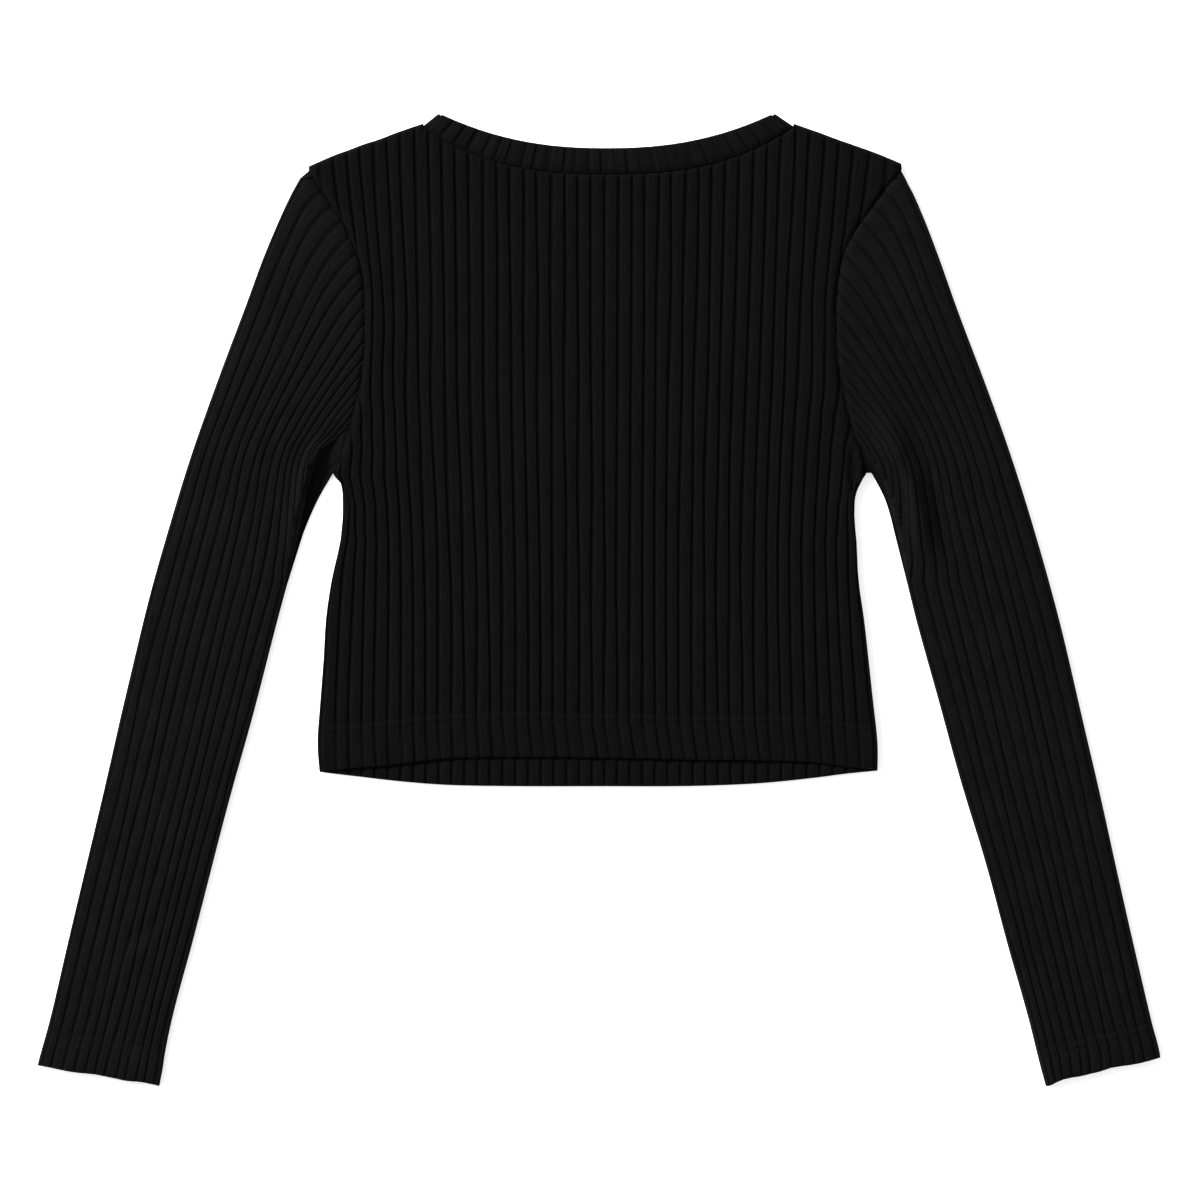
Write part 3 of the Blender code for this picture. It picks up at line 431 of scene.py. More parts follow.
def rib_columns(first, last, others=()):
    """Rib coordinates of a grid's columns from the first to the last, dense beside each groove."""
    columns = {first, last, *others}
    groove = math.floor(first) - 0.5
    while groove < last:
        columns.update((groove, *(groove + step for step in RIB_STEPS)))
        groove += 1
    kept = sorted(c for c in columns if first <= c <= last)
    spaced = [kept[0]]
    for c in kept[1:]:
        if c - spaced[-1] > LEAST_COLUMN:
            spaced.append(c)
    spaced[-1] = last
    return np.array(spaced)


def grid_of(columns, rows, keep):
    """A flat grid whose points know their column and row, with only the cells that keep() names."""
    bm = bmesh.new()
    bmesh.ops.create_grid(bm, x_segments=columns - 1, y_segments=rows - 1, size=1)
    column = bm.verts.layers.int.new("column")
    row = bm.verts.layers.int.new("row")
    bm.verts.layers.int.new("lower")
    bm.verts.layers.int.new("inner")
    for index, vert in enumerate(bm.verts):
        vert[column] = index % columns
        vert[row] = index // columns
    lost = []
    for face in bm.faces:
        cell = (min(v[column] for v in face.verts), min(v[row] for v in face.verts))
        if not keep(*cell):
            lost.append(face)
    bmesh.ops.delete(bm, geom=lost, context="FACES")
    return bm


def second_sheet(bm, layer_name):
    """Extrude the whole sheet, keep it, and mark the new points in the named layer."""
    layer = bm.verts.layers.int[layer_name]
    whole = bm.verts[:] + bm.edges[:] + bm.faces[:]
    grown = bmesh.ops.extrude_face_region(bm, geom=whole, use_keep_orig=True)
    for item in grown["geom"]:
        if isinstance(item, bmesh.types.BMVert):
            item[layer] = 1


def run_along(x, y, z):
    """Distance along each column from its first row."""
    steps = np.sqrt(np.diff(x, axis=0) ** 2 + np.diff(y, axis=0) ** 2 + np.diff(z, axis=0) ** 2)
    return np.vstack((np.zeros((1, x.shape[1])), np.cumsum(steps, axis=0)))


def object_of(bm, name, material):
    """Make an object of one material from a finished mesh, and put it in the scene."""
    mesh = bpy.data.meshes.new(name)
    bm.to_mesh(mesh)
    bm.free()
    mesh.shade_smooth()
    mesh.materials.append(material)
    made = bpy.data.objects.new(name, mesh)
    bpy.context.scene.collection.objects.link(made)
    return made


def drawn_together(first, second, share):
    """Two faces of a wall, which meet in their middle at share 0 and are left alone at share 1."""
    middle = (first + second) / 2
    return mix(middle, first, share), mix(middle, second, share)


def doubled_at(distance, needle_rows):
    """1 where the cloth is turned up, which ends just beyond its rows of stitches, and 0 above."""
    return ease((needle_rows[1] + TURNED_EDGE / 2 - distance) / TURNED_EDGE)


def stitched(rise, top, distance, needle_rows, sink):
    """The ribs' height and the cloth's, pulled flat along each row of stitches."""
    for height in needle_rows:
        pulled = bell(distance - height, STITCH_REACH)
        rise = rise * (1 - STITCH_FLAT * pulled)
        top = top - sink * pulled
    return rise, top


def piece_of_cloth(bm, name, ribs, sheets, material, node):
    """Put each point where its sheet says, lay the knit's own coordinates on it, and make the object."""
    keys = [bm.verts.layers.int[key] for key in ("column", "row", "lower", "inner")]
    column, row, lower, inner = (np.array([v[key] for v in bm.verts]) for key in keys)
    place = np.zeros((len(column), 3))
    knit = np.zeros((len(column), 2))
    along = run_along(*sheets[0, 0])
    for (is_lower, is_inner), (x, y, z) in sheets.items():
        here = (lower == is_lower) & (inner == is_inner)
        r, c = row[here], column[here]
        place[here] = np.stack((x[r, c], y[r, c], z[r, c]), axis=1) * MM
    place[:, 2] = np.maximum(place[:, 2], 0.0)  # nothing sinks into the surface
    knit[:, 0] = np.broadcast_to(ribs, along.shape)[row, column]
    knit[:, 1] = along[row, column] / KNIT_PITCH
    for vert, co in zip(bm.verts, place.tolist()):
        vert.co = co
    bmesh.ops.recalc_face_normals(bm, faces=bm.faces[:])
    if bm.calc_volume(signed=True) < 0:
        bmesh.ops.reverse_faces(bm, faces=bm.faces[:])
    piece = object_of(bm, name, material)
    mesh = piece.data
    corner_points = np.empty(len(mesh.loops), int)
    mesh.loops.foreach_get("vertex_index", corner_points)
    mesh.uv_layers.new(name="Knit").uv.foreach_set("vector", knit[corner_points].ravel())
    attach(piece, "root")
    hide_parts(node)
    print(name, len(mesh.polygons), "faces")
    return piece


# %% [markdown]
# ## Knit
# The yarn is a soft, fine, near-black spun yarn. A rib of knit wales stands up and two purl wales
# sink between it and the next. The colour comes from dyed yarn, so it is even, a little duller where
# fibres stand out on the ribs. It is painted darker in the grooves, between the wales and between the
# loops, which is painted shade. The loops are in the bump: V shapes on the ribs' wales, and small bars
# in the grooves. A picture of knit could be laid on the cloth, but it would repeat, so the pattern is
# worked out from the size of a wale and of a course. One function adds each node, and the kinds and
# settings that are used often have short names.

# %% Helpers for materials


def linear(hex_colour):
    """A linear colour from an sRGB hex one."""
    parts = [int(hex_colour[i : i + 2], 16) / 255 for i in (1, 3, 5)]
    return tuple(p / 12.92 if p <= 0.04045 else ((p + 0.055) / 1.055) ** 2.4 for p in parts) + (1.0,)


def new_material(name, **inputs):
    """A material with these inputs of its shader set, and its node tree and shader."""
    material = bpy.data.materials.new(name)
    material.use_nodes = True
    shader = material.node_tree.nodes["Principled BSDF"]
    for key, value in inputs.items():
        shader.inputs[key.replace("_", " ")].default_value = value
    return material, material.node_tree, shader


def add(tree, kind, settings=None, **links):
    """Add a node, set its properties, and link or set its inputs.

    An input is given by its name, or by its number, as in i0. A node stands for its first output.
    """
    node = tree.nodes.new(kind)
    for key, value in (settings or {}).items():
        setattr(node, key, value)
    for key, value in links.items():
        by_number = key[0] == "i" and key[1:].isdigit()
        socket = node.inputs[int(key[1:]) if by_number else key.replace("_", " ")]
        if isinstance(value, bpy.types.Node):
            value = value.outputs[0]
        if isinstance(value, bpy.types.NodeSocket):
            tree.links.new(value, socket)
        else:
            socket.default_value = value
    return node


MATHS, NOISE, MIX, RAMP = "ShaderNodeMath", "ShaderNodeTexNoise", "ShaderNodeMix", "ShaderNodeMapRange"
FRACTION, WITHOUT_SIGN, SINE = ({"operation": name} for name in ("FRACT", "ABSOLUTE", "SINE"))
MINUS, TIMES, TIMES_PLUS = ({"operation": name} for name in ("SUBTRACT", "MULTIPLY", "MULTIPLY_ADD"))
SMOOTH_STEP = {"interpolation_type": "SMOOTHSTEP"}
NUMBERS, COLOURS = {"data_type": "FLOAT"}, {"data_type": "RGBA"}  # a mix of colours has output 2

# %% Rib knit
WALES = 6.0  # wales in one rib and its groove, so a wale is 1.3 mm wide
COURSE = 1.05  # height of one course of loops, in millimetres
SLANT = 0.55  # how far a loop's legs rise from its middle to its side, in courses
COURSE_WANDER = 0.5  # how far the courses wander, in courses,
WANDER_PER_MM = 0.42  # in patches of 2.4 mm, so over two courses
# A fibre is 0.02 mm thick, which is too fine to show, so tufts of fibre ends 0.4 mm wide are drawn
FIBRES_PER_MM = 2.6
CLOUDS_PER_MM = 0.028  # the cloth is cloudy in patches of 36 mm
STREAKS = (WALES, 0.6, 1.0)  # in one rib's pitch: a streak of the yarn is a wale wide and 13 mm long
LOOP_STRENGTH, LOOP_DEPTH = 0.55, 0.22  # of the bump, the depth in millimetres
SHEEN = "#8c8a88"


def rib_knit(name, rib_colour, shaded_groove_colour, fibre_colour):
    """Near-black fine rib knit of soft spun yarn, matt, with a faint sheen of fibre ends."""
    matt = {"IOR": 1.45, "Specular_IOR_Level": 0.12, "Sheen_Weight": 0.05, "Sheen_Roughness": 0.6}
    material, tree, shader = new_material(name, **matt, Sheen_Tint=linear(SHEEN))
    knit = add(tree, "ShaderNodeUVMap", {"uv_map": "Knit"})
    parts = add(tree, "ShaderNodeSeparateXYZ", Vector=knit)
    across, along = parts.outputs[0], parts.outputs[1]
    body = add(tree, "ShaderNodeTexCoord").outputs["Object"]

    # Distance from the nearest groove's middle, in ribs
    fraction = add(tree, MATHS, FRACTION, i0=across)
    to_groove = add(tree, MATHS, WITHOUT_SIGN, i0=add(tree, MATHS, MINUS, i0=fraction, i1=0.5))
    on_rib = add(tree, RAMP, SMOOTH_STEP, Value=to_groove, From_Min=0.03, From_Max=0.10)

    # A wale is round: from its middle, at 0, to its sides, at 1
    wale = add(tree, MATHS, FRACTION, i0=add(tree, MATHS, TIMES, i0=across, i1=WALES))
    from_middle = add(tree, MATHS, TIMES_PLUS, i0=wale, i1=2.0, i2=-1.0)
    from_middle = add(tree, MATHS, WITHOUT_SIGN, i0=from_middle)
    squared = add(tree, MATHS, TIMES, i0=from_middle, i1=from_middle)
    round_wale = add(tree, MATHS, MINUS, i0=1.0, i1=squared)

    # Courses of loops: a V in each on the ribs, and a bar in the grooves
    course = add(tree, MATHS, TIMES, i0=along, i1=KNIT_PITCH / COURSE)
    uneven = add(tree, NOISE, Vector=body, Scale=WANDER_PER_MM / MM, Detail=2.0)
    course = add(tree, MATHS, TIMES_PLUS, i0=uneven, i1=COURSE_WANDER, i2=course)
    slant = add(tree, MATHS, TIMES_PLUS, i0=from_middle, i1=SLANT, i2=course)
    turns = add(tree, MATHS, SINE, i0=add(tree, MATHS, TIMES, i0=slant, i1=2 * math.pi))
    bars = add(tree, MATHS, SINE, i0=add(tree, MATHS, TIMES, i0=course, i1=2 * math.pi))
    legs = add(tree, MATHS, TIMES_PLUS, i0=turns, i1=0.30, i2=0.70)
    on_ribs = add(tree, MATHS, TIMES, i0=round_wale, i1=legs)
    in_grooves = add(tree, MATHS, TIMES_PLUS, i0=bars, i1=0.35, i2=0.4)
    loops = add(tree, MIX, NUMBERS, Factor=on_rib, i2=in_grooves, i3=on_ribs)

    # Fibre ends stand on the loops
    fibres = add(tree, NOISE, Vector=body, Scale=FIBRES_PER_MM / MM, Detail=3.0, Roughness=0.65)
    height = add(tree, MATHS, TIMES_PLUS, i0=fibres, i1=0.55, i2=loops)
    bump = add(tree, "ShaderNodeBump", Strength=LOOP_STRENGTH, Distance=LOOP_DEPTH * MM, Height=height)
    tree.links.new(bump.outputs[0], shader.inputs["Normal"])

    # Colour: dyed yarn, cloudy and streaked along the ribs, with painted shade that makes it darker in the
    # grooves and between wales
    # Painted shade: the grooves get a darker colour than the ribs
    groove_shaded_tone = add(tree, MIX, COLOURS, Factor=on_rib, i6=linear(shaded_groove_colour), i7=linear(rib_colour))
    cloudy = add(tree, NOISE, Vector=body, Scale=CLOUDS_PER_MM / MM, Detail=3.0, Roughness=0.6)
    long_way = add(tree, "ShaderNodeVectorMath", {"operation": "MULTIPLY"}, i0=knit, i1=STREAKS)
    streaks = add(tree, NOISE, Vector=long_way, Scale=1.0, Detail=4.0, Roughness=0.7)
    # Painted shade: the colour is darker where the loops sink, between the wales and in the grooves; the
    # cloudy patches and streaks are the yarn's own uneven tone
    painted_loop_shade_and_mottle = add(tree, MATHS, TIMES_PLUS, i0=loops, i1=0.5, i2=0.62)
    for source, amount, least in ((cloudy, 0.5, 0.75), (streaks, 1.9, 0.05)):
        share = add(tree, MATHS, TIMES_PLUS, i0=source, i1=amount, i2=least)
        painted_loop_shade_and_mottle = add(tree, MATHS, TIMES, i0=painted_loop_shade_and_mottle, i1=share)
    shade = add(tree, "ShaderNodeVectorMath", {"operation": "SCALE"}, i0=groove_shaded_tone.outputs[2], Scale=painted_loop_shade_and_mottle)
    tips = add(tree, RAMP, SMOOTH_STEP, Value=fibres, From_Min=0.60, From_Max=0.80, To_Max=0.35)
    colour = add(tree, MIX, COLOURS, Factor=tips, i6=shade, i7=linear(fibre_colour))
    tree.links.new(colour.outputs[2], shader.inputs["Base Color"])
    dullness = add(tree, MATHS, TIMES_PLUS, i0=fibres, i1=0.14, i2=0.84)
    tree.links.new(dullness.outputs[0], shader.inputs["Roughness"])
    return material


# In the photograph the sleeves and the neckband catch a little more light than the body
# So the sleeves' and the neckband's knit are painted lighter than the body's, which is painted light, as
# all three are one yarn; the second colour of each, for the grooves, is painted shade
body_knit = rib_knit("rib knit of the body", "#111111", "#0a0a0a", "#222222")
sleeve_knit = rib_knit("rib knit of the sleeves", "#171717", "#0d0d0d", "#2a2a2a")
band_knit = rib_knit("rib knit of the neckband", "#151515", "#0a0a0a", "#262626")
print("knits", [knit.name for knit in (body_knit, sleeve_knit, band_knit)])

# %% [markdown]
# ## Sewing thread
# Hems and cuffs are sewn with spun polyester thread of the cloth's colour. It is smoother than the
# knit and its plies are twisted, so that it shines a little more, in small slanting bars. A twisted
# mesh would take many faces for each stitch, so the twist is a wave pattern in the bump. The same
# wave paints the grooves between the plies darker, which is painted shade.

# %% Sewing thread
TWIST_PER_MM = 1.4  # the wave pattern's scale: its bars come every 0.45 mm, about one turn of the plies
TWIST_STRENGTH, TWIST_DEPTH = 0.5, 0.08  # of the bump, the depth in millimetres
THREAD_PLY_GROOVE_SHADE = "#050505"


def sewing_thread(name, colour):
    """Spun polyester sewing thread, twisted, a little smoother than the knit."""
    material, tree, shader = new_material(name, Roughness=0.62, IOR=1.5, Specular_IOR_Level=0.3)
    place = add(tree, "ShaderNodeTexCoord").outputs["Object"]
    slanting = {"bands_direction": "DIAGONAL"}
    twist = add(tree, "ShaderNodeTexWave", slanting, Vector=place, Scale=TWIST_PER_MM / MM, Distortion=1.0)
    twist = twist.outputs["Fac"]
    bump = add(tree, "ShaderNodeBump", Strength=TWIST_STRENGTH, Distance=TWIST_DEPTH * MM, Height=twist)
    tree.links.new(bump.outputs[0], shader.inputs["Normal"])
    # Painted shade: the grooves between the plies get a darker colour than the thread
    groove_shaded_tone = add(tree, MIX, COLOURS, Factor=twist, i6=linear(THREAD_PLY_GROOVE_SHADE), i7=linear(colour))
    tree.links.new(groove_shaded_tone.outputs[2], shader.inputs["Base Color"])
    return material


thread = sewing_thread("sewing thread", "#090909")
print("thread", thread.name)

# %% [markdown]
# ## Back and front
# Both are one panel each, cut across the ribs at hem and shoulder. A rib keeps its own line all the
# way up. Where the panel narrows at the waist the ribs near the side are drawn in, and at the
# armhole they run into the seam one after another.

# %% Lines of the body
side_lines = {-1: column_of(BODY_SIDE, 0, 1), 1: column_of(BODY_SIDE, 0, 2)}
armhole_lines = {-1: column_of(ARMHOLE, 0, 1), 1: column_of(ARMHOLE, 0, 2)}
pitch_lines = {-1: column_of(PITCH, 0, 1), 1: column_of(PITCH, 0, 2)}
shoulder_line = smooth(SHOULDER)
back_hem = column_of(HEM, 0, 1)
front_hem = column_of(HEM, 0, 2)


def by_side(lines, side, y):
    """The value of the line of a point's own side."""
    return np.where(side < 0, lines[-1](y), lines[1](y))


def lower_armhole_height(rib):
    """Height at which a rib ends on the lower part of the armhole."""
    share = np.clip((np.abs(rib) - ARMHOLE_RIB) / (HEM_RIB - ARMHOLE_RIB), 0, 1)
    return np.where(share > 0, mix(UNDERARM, ARMHOLE_LOW, (1 - share) ** SEAM_TAPER), ARMHOLE_LOW)


def upper_armhole_height(rib):
    """And where it begins again above."""
    share = np.clip((np.abs(rib) - ARMHOLE_RIB) / (SHOULDER_RIB - ARMHOLE_RIB), 0, 1)
    return mix(ARMHOLE_HIGH, SHOULDER_POINT, share)


def fold_start(y):
    """The side fold's own share of its full size, from 0 at the underarm to 1 below it."""
    return ease((UNDERARM - y) / FOLD_START)


def flat_rib(y):
    """The last rib that lies flat before the side fold."""
    flat = FLAT_RIB - (FLAT_RIB - WAIST_FLAT_RIB) * bell(y - WAIST, WAIST_REACH)
    return mix(HEM_RIB, flat, fold_start(y))


def edge_rib(y):
    """The rib that lies on the body's edge at this height."""
    low = np.clip((y - UNDERARM) / (ARMHOLE_LOW - UNDERARM), 0, 1)
    high = np.clip((y - ARMHOLE_HIGH) / (SHOULDER_POINT - ARMHOLE_HIGH), 0, 1)
    beside_seam = np.where(
        y <= ARMHOLE_LOW,
        mix(HEM_RIB, ARMHOLE_RIB, low ** (1 / SEAM_TAPER)),
        mix(ARMHOLE_RIB, SHOULDER_RIB, high),
    )
    return np.where(y <= UNDERARM, flat_rib(y), beside_seam)


def seam_beside(side, y):
    """The body's edge along the armhole seam."""
    y = np.minimum(y, SHOULDER_POINT)
    lap = SEAM_LAP * ease((SHOULDER_POINT - y) / LAP_START)
    left = beside(armhole_lines[-1], y, -lap)
    right = beside(armhole_lines[1], y, lap)
    return np.where(side < 0, left, right)


def flat_edge(side, y):
    """Where the body's edge lies, without the side fold."""
    outline = by_side(side_lines, side, y) - side * SIDE_TURN * fold_start(y)
    return np.where(y <= UNDERARM, outline, seam_beside(side, y))


def drawn_in(side, y):
    """How far the body's edge lies beyond where its even ribs would put it."""
    return flat_edge(side, y) - side * by_side(pitch_lines, side, y) * edge_rib(y)


def rib_x(rib, y):
    """Where a rib lies across the body at this height."""
    rib, y = np.broadcast_arrays(rib, y)
    side = np.where(rib < 0, -1.0, 1.0)
    limit = edge_rib(y)
    share = np.minimum(1.0, np.abs(rib) / limit)
    even = np.mean([drawn_in(side, y + step) for step in EVEN_STEPS], axis=0)
    drawn = even * share**SIDE_DRAW + (drawn_in(side, y) - even) * share**LAST_DRAW
    turn = np.clip((np.abs(rib) - limit) / np.maximum(HEM_RIB - limit, TINY), 0, 1)
    rounded = flat_edge(side, y) + side * SIDE_TURN * fold_start(y) * np.sin(turn * np.pi / 2)
    in_fold = (y <= UNDERARM) & (np.abs(rib) > limit)
    return np.where(in_fold, rounded, by_side(pitch_lines, side, y) * rib + drawn)


def neck_line(drop, power):
    def line(x):
        across = np.minimum(1.0, np.abs(x - NECK_MIDDLE) / NECK_HALF)
        return NECK_CORNER - drop * (1 - across**power)

    return line


back_neck = neck_line(NECK_DROP, NECK_POWER)
front_neck = neck_line(FRONT_NECK_DROP, FRONT_NECK_POWER)


def in_neck(x):
    return np.abs(x - NECK_MIDDLE) < NECK_HALF


def top_of(rib, neck):
    """Height of a rib's upper end on a body panel, and whether the neck ends it."""
    y = np.full(rib.shape, SHOULDER_POINT)
    for _ in range(6):
        x = rib_x(rib, y)
        y = np.where(
            in_neck(x),
            beside(neck, x, SEAM_LAP),
            shoulder_line(np.abs(x - NECK_MIDDLE)),
        )
    return y, in_neck(x)


def rib_at(x, y):
    """The rib coordinate that lies at x at this height."""
    low, high = -SHOULDER_RIB, SHOULDER_RIB
    for _ in range(40):
        middle = (low + high) / 2
        if rib_x(np.array(middle), np.array(y)) < x:
            low = middle
        else:
            high = middle
    return low


# %% Rows and columns of the body
Row = namedtuple("Row", "block kind amount")
WAIST_TOP = 62.0
LEVELS = np.arange(-60.0, WAIST_TOP, 8.0)
SIDE_FOLD_RIBS = (21.36, 21.52, 21.68, 21.84)
SEAM_RIBS = (17.9, ARMHOLE_RIB, SHOULDER_RIB)
BESIDE_CORNER = (-0.3, 0.3)
corners = [NECK_MIDDLE + side * (NECK_HALF + step) for side in (-1, 1) for step in BESIDE_CORNER]
corner_ribs = [rib_at(x, NECK_CORNER) for x in corners]
others = [side * rib for side in (-1, 1) for rib in (*SIDE_FOLD_RIBS, *SEAM_RIBS, FLAT_RIB)]
body_ribs = rib_columns(-HEM_RIB, HEM_RIB, others + corner_ribs)


def rows_of(block, kind, amounts):
    return [Row(block, kind, float(amount)) for amount in amounts]


HEM_ROWS = (3, 6, 9.5, 13, 16.5, 19.5, 21.2, 22.3, 23.4, 24.7, 25.9, 27.0, 28.1, 29.8, 32.5)
TURNS = np.radians((75, 55, 35, 15))
SEAM_ROWS = (3.0, 2.0, 1.0, 0.0)
back_rows = (
    rows_of("low", "turn", TURNS)
    + rows_of("low", "hem", HEM_ROWS)
    + rows_of("low", "level", LEVELS)
    + rows_of("low", "run", np.linspace(0, 1, 14))
    + rows_of("low", "seam", SEAM_ROWS[1:])
    + rows_of("high", "seam", SEAM_ROWS[::-1])
    + rows_of("high", "run", np.linspace(0, 1, 15)[1:])
    + rows_of("high", "turn", TURNS[::-1])
)
front_rows = (
    rows_of("low", "turn", TURNS)
    + rows_of("low", "strip", (-0.75, -0.5, -0.25, 0.0))
    + rows_of("low", "level", (-94.0, FRONT_ALLOWANCE_TOP, -88.0, -80.0, -70.0, *LEVELS[::2]))
    + rows_of("low", "run", np.linspace(0, 1, 9))
    + rows_of("low", "seam", (1.0, 0.0))
    + rows_of("high", "seam", (0.0, 1.0))
    + rows_of("high", "run", np.linspace(0, 1, 9)[1:])
    + rows_of("high", "turn", TURNS[::-1])
)


def body_heights(rib, rows, hem, neck):
    """Height of each point of a panel, a row at a time, and whether each column ends at the neck."""
    hem_x = rib_x(rib, HEM_LEVEL)
    foot = hem(hem_x)
    head = lower_armhole_height(rib)
    high_foot = upper_armhole_height(rib)
    top, ends_in_neck = top_of(rib, neck)
    room = top - high_foot
    turn_depth = np.minimum(SHOULDER_TURN, TURN_SHARE * room)
    seam_depth = np.minimum(SEAM_STEP, 0.2 * room)
    strip_top = np.maximum(back_hem(hem_x), foot + STRIP_LEAST) - STRIP_STEP
    hem_turn = np.minimum(HEM_TURN, TURN_SHARE * (strip_top - foot)) if hem is front_hem else HEM_TURN
    heights = []
    for row in rows:
        if row.block == "low":
            if row.kind == "turn":
                y = foot + hem_turn * (1 - np.sin(row.amount))
            elif row.kind == "hem":
                y = foot + row.amount
            elif row.kind == "strip":
                y = mix(strip_top, foot + hem_turn, -row.amount)
            elif row.kind == "level":
                y = np.full(rib.shape, row.amount)
            elif row.kind == "run":
                y = mix(WAIST_TOP, head - SEAM_STEP, row.amount)
            else:
                y = head - row.amount
        elif row.kind == "seam":
            y = high_foot + seam_depth * row.amount / SEAM_STEP
        elif row.kind == "run":
            y = mix(high_foot + seam_depth, top - turn_depth, row.amount)
        else:
            y = top - turn_depth * (1 - np.sin(row.amount))
        heights.append(y)
    return np.array(heights), ends_in_neck


def armhole_distance(x, y):
    """Distance of a point of the body from the armhole seam."""
    side = np.where(x < 0, -1.0, 1.0)
    near = np.clip(y, UNDERARM, SHOULDER_POINT)
    seam = by_side(armhole_lines, side, near)
    lean = np.where(side < 0, slope_of(armhole_lines[-1], near), slope_of(armhole_lines[1], near))
    across = np.abs(seam - x) / np.hypot(1.0, lean)
    return np.where(y < UNDERARM, np.hypot(across, UNDERARM - y), across)


# %% Folds and unevenness of the back
# Line of the fold (across, up), its width, and its height: a ridge is above nought, a trough below.
# The numbers that are left bare in the waves only keep neighbours from being alike.
BACK_CREASES = (
    (((157.2, 98.0), (156.8, 86.0), (157.0, 68.0)), 2.0, -3.0),
    (((161.4, 96.0), (162.0, 84.0), (160.6, 70.0)), 2.2, 1.6),
    (((149.0, 108.0), (151.5, 88.0), (150.5, 60.0)), 4.0, 0.9),
    (((-158.0, 88.0), (-154.0, 70.0), (-154.0, 50.0)), 3.0, -0.7),
    (((-120.0, 230.0), (-138.0, 200.0), (-141.0, 160.0), (-150.0, 118.0)), 8.0, 0.5),
    (((120.0, 232.0), (139.0, 200.0), (143.0, 160.0), (152.0, 118.0)), 8.0, 0.5),
    (((-60.0, -20.0), (-10.0, 5.0), (60.0, -8.0)), 16.0, -0.35),
    (((20.0, 120.0), (70.0, 100.0), (120.0, 108.0)), 14.0, -0.3),
)
HEM_LEAN = (2.25, 1.05)  # how far the ribs lean over below the stitches, and how unevenly
HEM_FLAT = (0.35, 0.3)  # share of their height that they lose there, and how unevenly,
HEM_FADE = 5.0  # which begins over this height
CALM_SIDES = 8  # power by which the ribs lie straighter towards the sides
# Size, length, step from rib to rib, and the same of what bends that wave again
BACK_WANDER = (0.45, 44.0, 1.9, 1.7, 71.0, 0.6)
BACK_RISES = (0.12, 40.0, 1.0)  # how unevenly high the ribs are, as a share, along and across them
BACK_SWELL = (0.35, 34.0, 41.0)  # how unevenly high the whole cloth lies, across and along
HEM_SINK = 0.15  # how far the stitches sink
SEAM_PUFF = (0.4, 4.5, 2.5)  # the cloth puffs up by this much, this far from a seam, so widely
FRONT_RISE = 0.85 * RIB_RISE
FRONT_HEM_FADE = (2.5, 1.2)  # heights over which its allowance and its strip's ribs begin


def back_sheets():
    rib = body_ribs
    number = np.round(rib)
    y, ends_in_neck = body_heights(rib, back_rows, back_hem, back_neck)
    hem_distance = y - back_hem(rib_x(rib, HEM_LEVEL))
    inside = 1 - np.clip(np.abs(rib) / FLAT_RIB, 0, 1) ** CALM_SIDES
    lean = HEM_LEAN[0] + HEM_LEAN[1] * np.sin(rib / 6 + 1.0)
    leaning = lean * np.clip(1 - hem_distance / NEEDLE_ROWS[0], 0, 1)
    x = rib_x(rib, y) + inside * (wander(BACK_WANDER, y, rib) + leaning)
    neck_distance = np.where(in_neck(x), back_neck(x) - y, FAR)
    near_seam = np.minimum(armhole_distance(x, y), neck_distance)

    doubled = doubled_at(hem_distance, NEEDLE_ROWS)
    top = mix(BACK_TOP, HEM_BACK_INNER + DOUBLE, doubled)
    low = mix(BACK_INNER, HEM_BACK_INNER, doubled)
    rise = RIB_RISE * (1 + swell(BACK_RISES, y, 1.9 * number, 0.4))
    rise, top = stitched(rise, top, hem_distance, NEEDLE_ROWS, HEM_SINK)
    in_hem = ease((NEEDLE_ROWS[0] - hem_distance) / HEM_FADE)
    rise = rise * (1 - in_hem * (HEM_FLAT[0] + HEM_FLAT[1] * np.sin(2.3 * number + 0.7)))
    rise = rise * (1 - SEAM_FLAT * (1 - ease(near_seam / SEAM_STEP)))
    puff, away, width = SEAM_PUFF
    top = top + puff * bell(near_seam - away, width) - SEAM_DIP * bell(near_seam, DIP_WIDTH)
    top = top - NECK_DIP * bell(neck_distance, NECK_DIP_WIDTH) + swell(BACK_SWELL, x, y, 0.9)
    for line, width, height in BACK_CREASES:
        top = top + crease(x, y, line, width, height)
    top = np.maximum(top + rise * rib_profile(rib), low + LEAST_WALL["body"])
    return fold_sheets(back_rows, x, y, low, top, ends_in_neck)


def fold_sheets(rows, x, y, inner, outer, ends_in_neck):
    """Turn both faces of a panel over at its edges, where it meets the other panel."""
    side = np.where(body_ribs < 0, -1.0, 1.0)
    turns = np.array([(row.kind == "turn") * row.amount for row in rows])[:, None]
    is_low = np.array([row.block == "low" for row in rows])[:, None]
    shoulder = np.where(is_low | ends_in_neck, 0.0, turns)
    limit = flat_rib(np.minimum(y, UNDERARM))
    turned = np.clip((np.abs(body_ribs) - limit) / np.maximum(HEM_RIB - limit, 0.02), 0, 1)
    fold = np.where(is_low & (y < UNDERARM), TURN_END * turned, 0.0)
    inner, outer = drawn_together(inner, outer, np.cos(np.where(is_low, turns, 0.0)))
    level = np.cos(shoulder) * np.cos(fold)
    inner, outer = mix(SIDE_SEAM_HEIGHT, inner, level), mix(SIDE_SEAM_HEIGHT, outer, level)
    inner_x = x - side * WALL * np.sin(fold)
    inner_y = y - WALL * np.sin(shoulder)
    return (x, y, outer), (inner_x, inner_y, inner)


